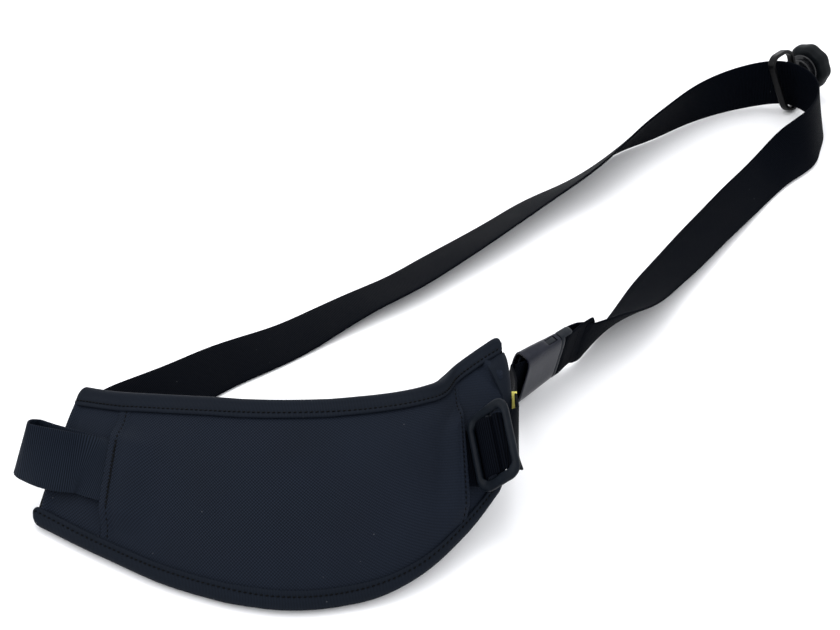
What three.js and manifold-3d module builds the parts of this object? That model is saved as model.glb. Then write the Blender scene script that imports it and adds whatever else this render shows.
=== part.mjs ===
// Crossbody strap laid out on a flat floor: a padded crescent shoulder pad, a long webbing run
// that turns back through a slider ring, and a side release buckle that closes the loop.
// Units are millimetres, +Z is up, X runs along the pad and -Y faces the pad's front.
import * as THREE from "three";
import Module from "manifold-3d";

const wasm = await Module();
wasm.setup();

// ---------- driving sizes ----------
const WEBBING_WIDTH = 38; // nominal 1.5 inch strap
const WEBBING_THICK = 1.6;
const LAYER_GAP = 0.4; // air left between two pieces that lie on each other
const HALF_WIDTH = WEBBING_WIDTH / 2;
const HALF_THICK = WEBBING_THICK / 2;

const CORE_RIM_HALF = 2.5; // half thickness of the foam core where the tape pinches it
const CORE_SWELL = 2.2; // extra half thickness in the padded field
const SWELL_START = 5; // distance from the rim where the padding starts to swell
const SWELL_END = 32; // distance from the rim where it is full
const CORE_INSET = 4.4; // core rim to the outside of the edge tape
const CORE_LEFT = -0.14; // core reaches past the left end panel, in section steps
const CORE_RIGHT = 7.06;
const CORE_RIGHT_BULGE = 0.2; // the right end of the core is rounded outward
const PANEL_THICK = 1;
const PANEL_GAP = 0.4;
const PANEL_INSET = 5.6; // panel rim to the outside of the edge tape
const SEAM_LEFT = 1; // section where the left end panel meets the front panel
const SEAM_RIGHT = 6;
const SEAM_GAP = 0.012; // half the open line between two panels, in section steps
const LAYER_STEP = WEBBING_THICK + LAYER_GAP; // rise from one webbing layer to the next
const TUCK_LENGTH = 0.24; // tucked length under the front panel, in section steps

const TAPE_WIDTH_UPPER = 15.4; // visible width of the edge tapes on the front
const TAPE_WIDTH_LOWER = 11.4;
const TAPE_THICK = 1.4;
const TAPE_BEND = 5.4; // distance of the tape's bend centre from the rim
const TAPE_INNER_R = 3.7;
const TAPE_RISE = 0.7; // the bend centre sits this far in front of the core's middle

// ---------- shoulder pad sections ----------
// One row per section from the left end to the right end:
// lower edge x y z, upper edge x y z, bulge of the middle towards the front.
const PAD_SECTIONS = [
  // lx, ly, lz, ux, uy, uz, bulge
  [-236, -228.4, 1.1, -212, -152, 53, 3],
  [-196, -255.4, 1.1, -185, -164, 58, 4],
  [-145, -284.4, 1.1, -134, -179, 66, 5],
  [-89, -302.4, 1.1, -81, -188, 71, 6],
  [-42, -298.4, 1.3, -31, -183, 70, 6],
  [-5, -280.9, 5, 4, -171, 69, 6],
  [27, -248.4, 11.8, 21, -146, 65, 5],
  [50, -213, 20, 49, -125, 73, 4],
];

// ---------- long webbing run ----------
// Free part of the strap, one row per bend or twist, from behind the pad's left end, along the
// long run, through the slider ring and back to the buckle. Lean is the tilt of the width
// direction about the run in degrees, lift is the height of the lower edge above the floor.
const RUN_ROWS = [
  // x, y, lean, lift
  [-206, -190, 148, 15],
  [-215, -180, 132, 5],
  [-217, -167, 112, 0],
  [-211, -150, 82, 0],
  [-198, -132, 50, 0],
  [-179, -110, 31, 0],
  [-157, -89, 21, 0],
  [-136, -68, 15, 0],
  [-113, -51, 10, 0],
  [-89, -31, 2, 0],
  [-65, -10, -6, 0],
  [-39, 11, -12, 0],
  [-13, 30, -15, 0],
  [11, 54, -17, 0],
  [35, 77, -21, 0],
  [62, 104, -26, 0],
  [88, 132, -29, 0],
  [117, 156, -39, 0],
  [140, 181, -47, 0],
  [160, 207, -53, 0],
  [185, 228, -69, 0],
  [214, 257, -81, 0],
  [242, 277, -90, 0],
  [265, 288, -96, 0],
  [282, 291.5, -96, 1.5],
  [295, 289, -95, 4.3],
  [304, 281, -92, 4.3],
  [313.5, 272.5, -88, 1.8],
  [318, 259.5, -82, 0],
  [317, 243, -77, 0],
  [311.2, 225.7, -76, 0],
  [300.2, 207, -64, 0],
  [287, 199.5, -27, 0],
  [271.3, 186.3, -2, 0.7],
  [255, 165, 0, 0.1],
  [243, 147, 1, 0],
  [230, 126, 4, 0],
  [217, 106, 6, 0],
  [205, 87, 8, 0],
  [193, 67, 10, 0],
  [180, 46, 13, 0],
  [168, 27, 17, 0],
  [159, 9, 22, 0],
  [149, -9, 31, 0],
  [138, -25, 43, 0],
  [129, -38, 56, 0],
  [119, -49.8, 66, 0],
  [110.5, -58.8, 74, 0.5],
];

// ---------- small vector helpers ----------
const V = (x, y, z) => new THREE.Vector3(x, y, z);

// Catmull-Rom value of one column of a table at a position measured in rows.
function sample(rows, at, column) {
  const last = rows.length - 1;
  const i = Math.min(Math.max(Math.floor(at), 0), last - 1);
  const t = at - i;
  const p1 = rows[i][column];
  const p2 = rows[i + 1][column];
  const p0 = i > 0 ? rows[i - 1][column] : 2 * p1 - p2;
  const p3 = i + 2 <= last ? rows[i + 2][column] : 2 * p2 - p1;
  const slope1 = (p2 - p0) / 2;
  const slope2 = (p3 - p1) / 2;
  if (t < 0) return p1 + slope1 * t;
  if (t > 1) return p2 + slope2 * (t - 1);
  const a = 2 * p1 - 2 * p2 + slope1 + slope2;
  const b = -3 * p1 + 3 * p2 - 2 * slope1 - slope2;
  return ((a * t + b) * t + slope1) * t + p1;
}

const smooth = (x) => {
  const t = Math.min(Math.max(x, 0), 1);
  return t * t * (3 - 2 * t);
};

// ---------- pad surface ----------
// Middle surface of the pad: s counts sections from the left, v runs 0 at the lower edge to 1.
function padMiddle(s, v) {
  const low = V(sample(PAD_SECTIONS, s, 0), sample(PAD_SECTIONS, s, 1), sample(PAD_SECTIONS, s, 2));
  const high = V(sample(PAD_SECTIONS, s, 3), sample(PAD_SECTIONS, s, 4), sample(PAD_SECTIONS, s, 5));
  const bulge = sample(PAD_SECTIONS, s, 6) * 4 * v * (1 - v);
  const point = low.clone().lerp(high, v);
  return point.addScaledVector(V(0, -0.5, 0.866), bulge);
}

const padHeight = (s) => padMiddle(s, 0).distanceTo(padMiddle(s, 1));

// Unit normal of the pad towards its front.
function padNormal(s, v) {
  const step = 0.02;
  const along = padMiddle(s + step, v).sub(padMiddle(s - step, v));
  const across = padMiddle(s, v + step).sub(padMiddle(s, v - step));
  return along.cross(across).normalize();
}

// Direction up the slope of the pad at a point.
function padUp(s, v) {
  const step = 0.02;
  return padMiddle(s, v + step).sub(padMiddle(s, v - step)).normalize();
}

const padPoint = (s, v, offset) => padMiddle(s, v).addScaledVector(padNormal(s, v), offset);

// Half thickness of the foam core at a distance from the nearer long edge.
const coreHalf = (distance) =>
  CORE_RIM_HALF + CORE_SWELL * smooth((distance - SWELL_START) / (SWELL_END - SWELL_START));

const rimDistance = (s, v) => Math.min(v, 1 - v) * padHeight(s);

// ---------- mesh builders ----------
// Signed volume of a closed set of triangles, positive when the faces point outward.
function signedVolume(points, triangles) {
  let sum = 0;
  for (let i = 0; i < triangles.length; i += 3) {
    const [a, b, c] = triangles.slice(i, i + 3).map((k) => points[k]);
    sum += a.dot(b.clone().cross(c));
  }
  return sum / 6;
}

function bodyFrom(points, triangles) {
  if (signedVolume(points, triangles) < 0) triangles.reverse();
  const geometry = new THREE.BufferGeometry();
  const flat = new Float32Array(points.length * 3);
  points.forEach((p, i) => flat.set([p.x, p.y, p.z], i * 3));
  geometry.setAttribute("position", new THREE.BufferAttribute(flat, 3));
  geometry.setIndex(triangles);
  return geometry;
}

// Side faces between equal rings of points.
function loftSides(rings, closed) {
  const n = rings[0].length;
  const triangles = [];
  const spans = closed ? rings.length : rings.length - 1;
  for (let i = 0; i < spans; i++) {
    const a = i * n;
    const b = ((i + 1) % rings.length) * n;
    for (let j = 0; j < n; j++) {
      const k = (j + 1) % n;
      triangles.push(a + j, a + k, b + k);
      triangles.push(a + j, b + k, b + j);
    }
  }
  return triangles;
}

// Closed body through rings of points, capped by a fan at each end or joined end to end.
function loft(rings, closed = false) {
  const n = rings[0].length;
  const points = rings.flat();
  const triangles = loftSides(rings, closed);
  const last = (rings.length - 1) * n;
  const caps = closed ? [] : [[0, true], [last, false]];
  for (const [start, flip] of caps) {
    const centre = points.length;
    const middle = V(0, 0, 0);
    for (let j = 0; j < n; j++) middle.addScaledVector(points[start + j], 1 / n);
    points.push(middle);
    for (let j = 0; j < n; j++) {
      const k = (j + 1) % n;
      if (flip) triangles.push(centre, start + k, start + j);
      else triangles.push(centre, start + j, start + k);
    }
  }
  return bodyFrom(points, triangles);
}

// Closed body through rings whose bent outline is cut into triangles at the ends.
function loftOutline(rings, outline) {
  const triangles = loftSides(rings, false);
  const turn = Math.sign(THREE.ShapeUtils.area(outline));
  const last = (rings.length - 1) * outline.length;
  for (const cap of THREE.ShapeUtils.triangulateShape(outline, [])) {
    const same = Math.sign(THREE.ShapeUtils.area(cap.map((i) => outline[i]))) === turn;
    const [a, b, c] = same ? cap : [cap[2], cap[1], cap[0]];
    triangles.push(c, b, a);
    triangles.push(last + a, last + b, last + c);
  }
  return bodyFrom(rings.flat(), triangles);
}

// Even stops from 0 to 1.
const even = (steps) => Array.from({ length: steps + 1 }, (_, i) => i / steps);

// Curved slab between two offset surfaces over a rectangle of the pad.
function padSlab(sAt, vAt, inner, outer, sStops, vStops) {
  const points = [];
  const stepsS = sStops.length - 1;
  const stepsV = vStops.length - 1;
  for (const layer of [outer, inner]) {
    for (let i = 0; i <= stepsS; i++) {
      for (let j = 0; j <= stepsV; j++) {
        const fv = vStops[j];
        const s = sAt(sStops[i], fv);
        const v = vAt(s, fv);
        points.push(padPoint(s, v, layer(s, v)));
      }
    }
  }
  const row = stepsV + 1;
  const sheet = (stepsS + 1) * row;
  const at = (layer, i, j) => layer * sheet + i * row + j;
  const triangles = [];
  const quad = (a, b, c, d) => triangles.push(a, b, c, a, c, d);
  for (let i = 0; i < stepsS; i++) {
    for (let j = 0; j < stepsV; j++) {
      quad(at(0, i, j), at(0, i + 1, j), at(0, i + 1, j + 1), at(0, i, j + 1));
      quad(at(1, i, j), at(1, i, j + 1), at(1, i + 1, j + 1), at(1, i + 1, j));
    }
    quad(at(0, i, 0), at(1, i, 0), at(1, i + 1, 0), at(0, i + 1, 0));
    quad(at(0, i, stepsV), at(0, i + 1, stepsV), at(1, i + 1, stepsV), at(1, i, stepsV));
  }
  for (let j = 0; j < stepsV; j++) {
    quad(at(0, 0, j), at(0, 0, j + 1), at(1, 0, j + 1), at(1, 0, j));
    quad(at(0, stepsS, j), at(1, stepsS, j), at(1, stepsS, j + 1), at(0, stepsS, j + 1));
  }
  return bodyFrom(points, triangles);
}

// ---------- manifold helpers ----------
const WELD = 5000; // points closer than 1/5000 mm are one vertex
function solid(geometry) {
  const soup = geometry.index ? geometry.toNonIndexed() : geometry;
  const position = soup.getAttribute("position");
  const seen = new Map();
  const vertices = [];
  const triVerts = [];
  for (let i = 0; i < position.count; i++) {
    const x = position.getX(i);
    const y = position.getY(i);
    const z = position.getZ(i);
    const key = [x, y, z].map((value) => Math.round(value * WELD)).join(",");
    if (!seen.has(key)) {
      seen.set(key, vertices.length / 3);
      vertices.push(x, y, z);
    }
    triVerts.push(seen.get(key));
  }
  const kept = [];
  for (let i = 0; i < triVerts.length; i += 3) {
    const [a, b, c] = triVerts.slice(i, i + 3);
    if (a !== b && b !== c && c !== a) kept.push(a, b, c);
  }
  return new wasm.Manifold(
    new wasm.Mesh({
      numProp: 3,
      vertProperties: new Float32Array(vertices),
      triVerts: new Uint32Array(kept),
    }),
  );
}

function geometryOf(manifold) {
  const mesh = manifold.getMesh();
  const geometry = new THREE.BufferGeometry();
  const count = mesh.numVert;
  const flat = new Float32Array(count * 3);
  for (let i = 0; i < count; i++) {
    flat.set(mesh.vertProperties.subarray(i * mesh.numProp, i * mesh.numProp + 3), i * 3);
  }
  geometry.setAttribute("position", new THREE.BufferAttribute(flat, 3));
  geometry.setIndex(new THREE.BufferAttribute(mesh.triVerts, 1));
  return geometry;
}

function block(x0, x1, y0, y1, z0, z1) {
  const box = new THREE.BoxGeometry(x1 - x0, y1 - y0, z1 - z0);
  return box.translate((x0 + x1) / 2, (y0 + y1) / 2, (z0 + z1) / 2);
}

// Frame of a hard piece: its own x, y and z directions and its origin.
function place(geometry, origin, xAxis, yAxis) {
  const x = xAxis.clone().normalize();
  const z = x.clone().cross(yAxis).normalize();
  const y = z.clone().cross(x).normalize();
  const matrix = new THREE.Matrix4().makeBasis(x, y, z).setPosition(origin);
  return geometry.clone().applyMatrix4(matrix);
}

const group = new THREE.Group();
function addPiece(name, geometry, color, roughness) {
  const material = new THREE.MeshStandardMaterial({ color, roughness });
  const mesh = new THREE.Mesh(geometry, material);
  mesh.name = name;
  group.add(mesh);
}

// ---------- webbing ----------
// A frame of webbing is its centre and its width direction; the run is smoothed through them.
const SPANS_PER_FRAME = 3;
const CORNER = 0.5; // rounding of the woven edge

function webbing(frames, spans = SPANS_PER_FRAME, width = WEBBING_WIDTH) {
  const rows = frames.map((f) => [f.c.x, f.c.y, f.c.z, f.w.x, f.w.y, f.w.z]);
  const count = (rows.length - 1) * spans;
  const centres = [];
  const widths = [];
  for (let i = 0; i <= count; i++) {
    const at = i / spans;
    centres.push(V(sample(rows, at, 0), sample(rows, at, 1), sample(rows, at, 2)));
    widths.push(V(sample(rows, at, 3), sample(rows, at, 4), sample(rows, at, 5)));
  }
  const half = width / 2;
  const rings = centres.map((c, i) => {
    const before = centres[Math.max(i - 1, 0)];
    const after = centres[Math.min(i + 1, count)];
    const along = after.clone().sub(before).normalize();
    const across = widths[i].clone().addScaledVector(along, -widths[i].dot(along)).normalize();
    const normal = along.clone().cross(across);
    const outline = [
      [half - CORNER, -HALF_THICK],
      [half, -HALF_THICK + CORNER],
      [half, HALF_THICK - CORNER],
      [half - CORNER, HALF_THICK],
      [-half + CORNER, HALF_THICK],
      [-half, HALF_THICK - CORNER],
      [-half, -HALF_THICK + CORNER],
      [-half + CORNER, -HALF_THICK],
    ];
    return outline.map(([a, b]) => c.clone().addScaledVector(across, a).addScaledVector(normal, b));
  });
  return loft(rings);
}

// Frames of a floor table: the lower edge is laid at its lift above the floor.
function floorFrames(rows) {
  return rows.map(([x, y, lean, lift], i) => {
    const before = rows[Math.max(i - 1, 0)];
    const after = rows[Math.min(i + 1, rows.length - 1)];
    const along = V(after[0] - before[0], after[1] - before[1], 0).normalize();
    const side = V(-along.y, along.x, 0);
    const angle = THREE.MathUtils.degToRad(lean);
    const height = Math.abs(Math.sin(angle)) * HALF_WIDTH + Math.abs(Math.cos(angle)) * HALF_THICK;
    const w = side.clone().multiplyScalar(Math.cos(angle)).add(V(0, 0, Math.sin(angle)));
    return { c: V(x, y, height + lift + 0.05), w };
  });
}

// ---------- pad pieces ----------
const coreS = (f, fv) => {
  const right = CORE_RIGHT + CORE_RIGHT_BULGE * (1 - (2 * fv - 1) ** 2);
  return CORE_LEFT + (right - CORE_LEFT) * f;
};
const insetV = (inset) => (s, fv) => {
  const share = inset / padHeight(s);
  return share + (1 - 2 * share) * fv;
};
const coreOuter = (s, v) => coreHalf(rimDistance(s, v));
const coreInner = (s, v) => -coreHalf(rimDistance(s, v));
addPiece(
  "pad_core",
  padSlab(coreS, insetV(CORE_INSET), coreInner, coreOuter, even(28), even(12)),
  0x1b1e25,
  0.9,
);

// Webbing bands that tuck under the front panel: middle and half height as shares of the pad.
const GRAB_FRONT_V = 0.475;
const GRAB_BACK_V = 0.49;
const ADJUST_V = 0.411;
const TUCK_FADE = 0.12; // length over which the lifted panel comes down again, in section steps
function tuckLift(s, v) {
  const bands = [
    // seam, middle of the band, layers, clearance over them, clearance beside them
    [SEAM_LEFT, GRAB_FRONT_V, 2, 1.7, 1.6],
    [SEAM_LEFT, GRAB_BACK_V, 1, 1.7, 1.6],
    [SEAM_RIGHT, ADJUST_V, 1, 3, 7.5],
  ];
  let lift = 0;
  for (const [seam, middle, layers, clear, beside] of bands) {
    const reach = 1 - smooth((Math.abs(s - seam) - TUCK_LENGTH) / TUCK_FADE);
    const side = Math.abs(v - middle) * padHeight(s);
    const band = 1 - smooth((side - HALF_WIDTH - beside) / 5);
    const ride = PANEL_THICK + clear + layers * LAYER_STEP;
    lift = Math.max(lift, ride * reach * band);
  }
  return lift;
}
const panelInner = (s, v) => coreHalf(rimDistance(s, v)) + PANEL_GAP;
const panelOuter = (s, v) => panelInner(s, v) + PANEL_THICK;
// Mesh lines of the front panel, closer where webbing ends are tucked under it.
const FRONT_S_STOPS = [
  0, 0.02, 0.038, 0.052, 0.078, 0.11, 0.15, 0.21, 0.27, 0.33, 0.4, 0.47, 0.53, 0.6, 0.67, 0.73, 0.78,
  0.82, 0.86, 0.89, 0.922, 0.948, 0.962, 0.98, 1,
];
const FRONT_V_STOPS = [
  0, 0.08, 0.16, 0.21, 0.25, 0.29, 0.33, 0.37, 0.45, 0.54, 0.61, 0.65, 0.69, 0.73, 0.77, 0.83, 0.91, 1,
];
const frontInner = (s, v) => panelInner(s, v) + tuckLift(s, v);
const frontOuter = (s, v) => frontInner(s, v) + PANEL_THICK;
const between = (from, to) => (f) => from + (to - from) * f;
addPiece(
  "pad_front_panel",
  padSlab(
    between(SEAM_LEFT + SEAM_GAP, SEAM_RIGHT - SEAM_GAP),
    insetV(PANEL_INSET),
    frontInner,
    frontOuter,
    FRONT_S_STOPS,
    FRONT_V_STOPS,
  ),
  0x21262f,
  0.85,
);
addPiece(
  "pad_end_panel_left",
  padSlab(between(0, SEAM_LEFT - SEAM_GAP), insetV(PANEL_INSET), panelInner, panelOuter, even(5), even(10)),
  0x21262f,
  0.85,
);
addPiece(
  "pad_end_panel_right",
  padSlab(between(SEAM_RIGHT + SEAM_GAP, 7), insetV(PANEL_INSET), panelInner, panelOuter, even(5), even(10)),
  0x21262f,
  0.85,
);

// Edge tape: one bent outline in distance from the rim and height above the core's middle.
function tapeOutline(width) {
  const outer = TAPE_INNER_R + TAPE_THICK;
  const steps = 6;
  const points = [];
  const frontIn = (d) => coreHalf(d) + PANEL_GAP + PANEL_THICK + 0.35;
  const backIn = (d) => -coreHalf(d) - 0.35;
  points.push([width, frontIn(width) + TAPE_THICK]);
  for (let i = 0; i <= steps; i++) {
    const angle = Math.PI / 2 + (Math.PI * i) / steps;
    points.push([TAPE_BEND + outer * Math.cos(angle), TAPE_RISE + outer * Math.sin(angle)]);
  }
  points.push([width, backIn(width) - TAPE_THICK]);
  points.push([width, backIn(width)]);
  for (let i = steps; i >= 0; i--) {
    const angle = Math.PI / 2 + (Math.PI * i) / steps;
    const r = TAPE_INNER_R;
    points.push([TAPE_BEND + r * Math.cos(angle), TAPE_RISE + r * Math.sin(angle)]);
  }
  points.push([width, frontIn(width)]);
  return points;
}

function edgeTape(upper, from, to, stations) {
  const outline = tapeOutline(upper ? TAPE_WIDTH_UPPER : TAPE_WIDTH_LOWER);
  const rings = [];
  for (let i = 0; i <= stations; i++) {
    const s = from + ((to - from) * i) / stations;
    const height = padHeight(s);
    const ring = outline.map(([d, n]) => {
      const v = upper ? 1 - d / height : d / height;
      return padPoint(s, v, n);
    });
    rings.push(ring);
  }
  return loftOutline(rings, outline.map(([d, n]) => new THREE.Vector2(d, n)));
}
addPiece("pad_edge_tape_upper", edgeTape(true, -0.06, 7.1, 34), 0x262b35, 0.75);
addPiece("pad_edge_tape_lower", edgeTape(false, -0.16, 6.98, 34), 0x262b35, 0.75);

// ---------- grab loop ----------
// Doubled webbing: both layers start under the front panel's left fold, lie on the left end
// panel, and part into an open bend beyond the pad's end.
const GRAB_REACH = V(-248.8, -193.3, 39.4); // middle of the bend line
const GRAB_WIDTH_WAY = V(0.3, 0.228, 0.926).normalize(); // width direction there
const GRAB_BEND_R = 6;
const GRAB_BOW = 3.5; // how far each free leg bows off the pad
const lowLayer = (s, v) => panelOuter(s, v) + LAYER_GAP + HALF_THICK;
const highLayer = (s, v) => lowLayer(s, v) + LAYER_STEP;
const onPad = (s, v, offset) => ({ c: padPoint(s, v, offset), w: padUp(s, v) });

function grabLoop() {
  const frontStops = [1.16, 1.04, 0.85, 0.6];
  const backStops = [0.6, 0.85, 1.04, 1.16];
  const up = GRAB_WIDTH_WAY;
  const out = padPoint(-0.2, 0.5, 0).sub(padPoint(0.1, 0.5, 0));
  out.addScaledVector(up, -out.dot(up)).normalize();
  const normal = out.clone().cross(up).negate().normalize();
  if (normal.z < 0) normal.negate();
  const centre = GRAB_REACH.clone().addScaledVector(out, -GRAB_BEND_R);
  const bend = [80, 45, 0, -45, -80].map((degrees) => {
    const a = THREE.MathUtils.degToRad(degrees);
    const c = centre.clone().addScaledVector(out, GRAB_BEND_R * Math.cos(a));
    return { c: c.addScaledVector(normal, GRAB_BEND_R * Math.sin(a)), w: up.clone() };
  });
  const front = frontStops.map((s) => onPad(s, GRAB_FRONT_V, highLayer(s, GRAB_FRONT_V)));
  const back = backStops.map((s) => onPad(s, GRAB_BACK_V, lowLayer(s, GRAB_BACK_V)));
  const between = (a, b, share) => {
    const c = a.c.clone().lerp(b.c, share);
    c.addScaledVector(normal, GRAB_BOW * Math.sin(Math.PI * share));
    return { c, w: a.w.clone().lerp(b.w, share) };
  };
  const way = (a, b, shares) => shares.map((share) => between(a, b, share));
  const leave = way(front.at(-1), bend[0], [0.3, 0.6, 0.85]);
  const arrive = way(bend.at(-1), back[0], [0.15, 0.4, 0.7]);
  return webbing([...front, ...leave, ...bend, ...arrive, ...back]);
}
addPiece("grab_loop", grabLoop(), 0x1c212b, 0.8);

// ---------- buckle frame ----------
// x runs from the mouth to the strap, y is the width of the webbing, z the broad face.
const BUCKLE_ORIGIN = V(66.8, -101, 23.2);
const BUCKLE_X = V(0.707, 0.707, 0);
const BUCKLE_Y = V(0.171, -0.171, 0.97);
const BUCKLE_Z = BUCKLE_X.clone().cross(BUCKLE_Y).normalize();
const inBuckle = (geometry) => place(geometry, BUCKLE_ORIGIN, BUCKLE_X, BUCKLE_Y);
const buckleFrame = (x, z) => ({
  c: BUCKLE_ORIGIN.clone().addScaledVector(BUCKLE_X, x).addScaledVector(BUCKLE_Z, z),
  w: BUCKLE_Y.clone(),
});
const BAR_R = 1.9;
const BAR_WRAP = BAR_R + 0.4 + HALF_THICK;
const MALE_BAR_X = 39;
const FEMALE_BAR_X = 9;
const FLAP_LENGTH = 29;
const LAYER_HALF = LAYER_STEP / 2;

// Turn of webbing round a bar, from the back side to the front side or the other way.
const barTurn = (barX, way, side) =>
  [-90, -45, 0, 45, 90].map((degrees) => {
    const a = THREE.MathUtils.degToRad(degrees);
    const x = barX + way * BAR_WRAP * Math.cos(a);
    return buckleFrame(x, side * BAR_WRAP * Math.sin(a));
  });

// ---------- long strap ----------
const BACK_GAP = 2.2; // the flat webbing clears the hollow of the pad's back
const backOffset = (s, v) => -(coreHalf(rimDistance(s, v)) + BACK_GAP + HALF_THICK);
const hidden = [1.5, 1.25, 1, 0.85].map((s) => onPad(s, 0.58, backOffset(s, 0.58)));
const strapFrames = [
  ...hidden,
  ...floorFrames(RUN_ROWS),
  buckleFrame(MALE_BAR_X + 12, -LAYER_HALF - 0.5),
  ...barTurn(MALE_BAR_X, -1, 1),
  buckleFrame(MALE_BAR_X + 7, LAYER_HALF + 1),
  buckleFrame(MALE_BAR_X + 14, LAYER_HALF + 0.2),
  buckleFrame(MALE_BAR_X + FLAP_LENGTH * 0.75, LAYER_HALF + 0.2),
  buckleFrame(MALE_BAR_X + FLAP_LENGTH, LAYER_HALF + 0.2),
];
addPiece("long_strap", webbing(strapFrames), 0x161a22, 0.8);

// ---------- strap adjuster ----------
// x runs from the left bar to the right bar, y along the bars, z away from the pad.
const TRI_ORIGIN = V(45, -215.8, 57);
const TRI_X = V(0.79, -0.15, 0.59).normalize();
const TRI_Y = V(-0.17, 0.87, 0.46);
const TRI_Z = TRI_X.clone().cross(TRI_Y).normalize();
const TRI_UP = TRI_Z.clone().cross(TRI_X).normalize();
const TRI_HALF_X = 15; // bar centre to bar centre, halved
const TRI_HALF_Y = 22.5;
const TRI_CORNER = 7;
const TRI_SAG = 2.6; // the left bar sits this far below the right bar, halved
const TRI_MIDDLE_DROP = -1; // the middle bar sits a little behind the frame
const TRI_BAR_WIDE = 2.3;
const TRI_BAR_THICK = 1.9;

// Corner-rounded rectangle walked as points, with the number of points on each corner.
function roundedLoop(halfX, halfY, corner, steps) {
  const points = [];
  const corners = [
    [halfX - corner, halfY - corner, 0],
    [-halfX + corner, halfY - corner, 90],
    [-halfX + corner, -halfY + corner, 180],
    [halfX - corner, -halfY + corner, 270],
  ];
  for (const [x, y, from] of corners) {
    for (let i = 0; i <= steps; i++) {
      const a = THREE.MathUtils.degToRad(from + (90 * i) / steps);
      points.push([x + corner * Math.cos(a), y + corner * Math.sin(a)]);
    }
  }
  return points;
}

// Closed bar of oval section swept round a loop of points in the loop's own plane.
function sweptLoop(points, wide, thick, heightAt, sides = 8) {
  const rings = points.map(([x, y], i) => {
    const [ax, ay] = points[(i + points.length - 1) % points.length];
    const [bx, by] = points[(i + 1) % points.length];
    const along = V(bx - ax, by - ay, 0).normalize();
    const out = V(along.y, -along.x, 0);
    const ring = [];
    for (let j = 0; j < sides; j++) {
      const a = (2 * Math.PI * j) / sides + Math.PI / sides;
      const point = V(x, y, heightAt(x, y) + thick * Math.sin(a));
      ring.push(point.addScaledVector(out, wide * Math.cos(a)));
    }
    return ring;
  });
  return loft(rings, true);
}

const triHeight = (x) => TRI_SAG * Math.sin((Math.PI * x) / (2 * TRI_HALF_X));
function triGlide() {
  const walk = roundedLoop(TRI_HALF_X, TRI_HALF_Y, TRI_CORNER, 4);
  const refined = [];
  walk.forEach(([x, y], i) => {
    const [nx, ny] = walk[(i + 1) % walk.length];
    refined.push([x, y]);
    const pieces = Math.abs(nx - x) > 10 ? 5 : 1;
    for (let k = 1; k < pieces; k++) {
      refined.push([x + ((nx - x) * k) / pieces, y + ((ny - y) * k) / pieces]);
    }
  });
  const frame = solid(sweptLoop(refined, TRI_BAR_WIDE, TRI_BAR_THICK, triHeight));
  const bar = new THREE.CylinderGeometry(TRI_BAR_THICK, TRI_BAR_THICK, 2 * TRI_HALF_Y - 1, 10);
  bar.translate(0, 0, TRI_MIDDLE_DROP);
  return geometryOf(frame.add(solid(bar)));
}
const inTri = (geometry) => place(geometry, TRI_ORIGIN, TRI_X, TRI_UP);
addPiece("strap_adjuster", inTri(triGlide()), 0x24272c, 0.45);

// ---------- adjuster webbing ----------
// Comes from under the front panel's right fold, passes under the left bar, over the middle bar
// and down the right slot, goes behind the pad and turns round the bar in the buckle's mouth.
const triFrame = (x, z) => ({
  c: TRI_ORIGIN.clone().addScaledVector(TRI_X, x).addScaledVector(TRI_Z, z),
  w: TRI_UP.clone(),
});
const BACK_ROWS = [
  // x, y, z, width direction x, y, z
  [60, -204.5, 54.5, 0.02, 0.78, 0.6],
  [61.2, -186, 46, -0.02, 0.52, 0.85],
  [61.2, -165, 36.5, -0.02, 0.28, 0.95],
  [60.8, -143, 28.5, 0.06, 0.08, 0.99],
  [59.7, -125, 24.5, 0.12, -0.06, 0.98],
];
const free = ([x, y, z, wx, wy, wz]) => ({ c: V(x, y, z), w: V(wx, wy, wz) });

// Section and height share of the point of the pad nearest to a point in space.
function padNear(point) {
  let s = SEAM_RIGHT;
  let v = ADJUST_V;
  const step = 0.01;
  for (let i = 0; i < 12; i++) {
    const here = padMiddle(s, v);
    const along = padMiddle(s + step, v).sub(here).divideScalar(step);
    const across = padMiddle(s, v + step).sub(here).divideScalar(step);
    const miss = point.clone().sub(here);
    const aa = along.dot(along);
    const ab = along.dot(across);
    const bb = across.dot(across);
    const ma = miss.dot(along);
    const mb = miss.dot(across);
    const det = aa * bb - ab * ab;
    s += (ma * bb - mb * ab) / det;
    v += (mb * aa - ma * ab) / det;
  }
  return [s, v];
}
const ADJUST_SEAM = padMiddle(SEAM_RIGHT, ADJUST_V);
const adjustAlong = TRI_UP.clone().cross(padNormal(SEAM_RIGHT, ADJUST_V)).normalize();
// The webbing is straight across, so it lies on the highest line of the pad under its width.
function adjustOnPad(distance) {
  const [s, v] = padNear(ADJUST_SEAM.clone().addScaledVector(adjustAlong, distance));
  const height = lowLayer(s, v);
  let lift = 0;
  for (const side of [-1, -0.6, -0.3, 0.3, 0.6, 1]) {
    const edge = padPoint(s, v, height).addScaledVector(TRI_UP, HALF_WIDTH * side);
    const [es, ev] = padNear(edge);
    const above = edge.clone().sub(padMiddle(es, ev)).dot(padNormal(es, ev));
    lift = Math.max(lift, lowLayer(es, ev) - above);
  }
  return { c: padPoint(s, v, height + lift), w: TRI_UP.clone() };
}
const adjustFrames = [
  ...[-4, -1.5, 1, 3.6].map(adjustOnPad),
  triFrame(-16.8, -6.2),
  triFrame(-13, -6),
  triFrame(-10.5, -2.8),
  triFrame(-7, 2),
  triFrame(-3, 2.9),
  triFrame(1, 2.2),
  triFrame(3.4, 1.7),
  triFrame(6, 2.7),
  triFrame(9, 1.6),
  triFrame(11.2, -3.5),
  ...BACK_ROWS.map(free),
  buckleFrame(-14, 1),
  buckleFrame(-6, 1.6),
  buckleFrame(1.5, 2.4),
  ...barTurn(FEMALE_BAR_X, 1, -1),
  buckleFrame(3, -2.4),
  buckleFrame(-4, -1.8),
];
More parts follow.
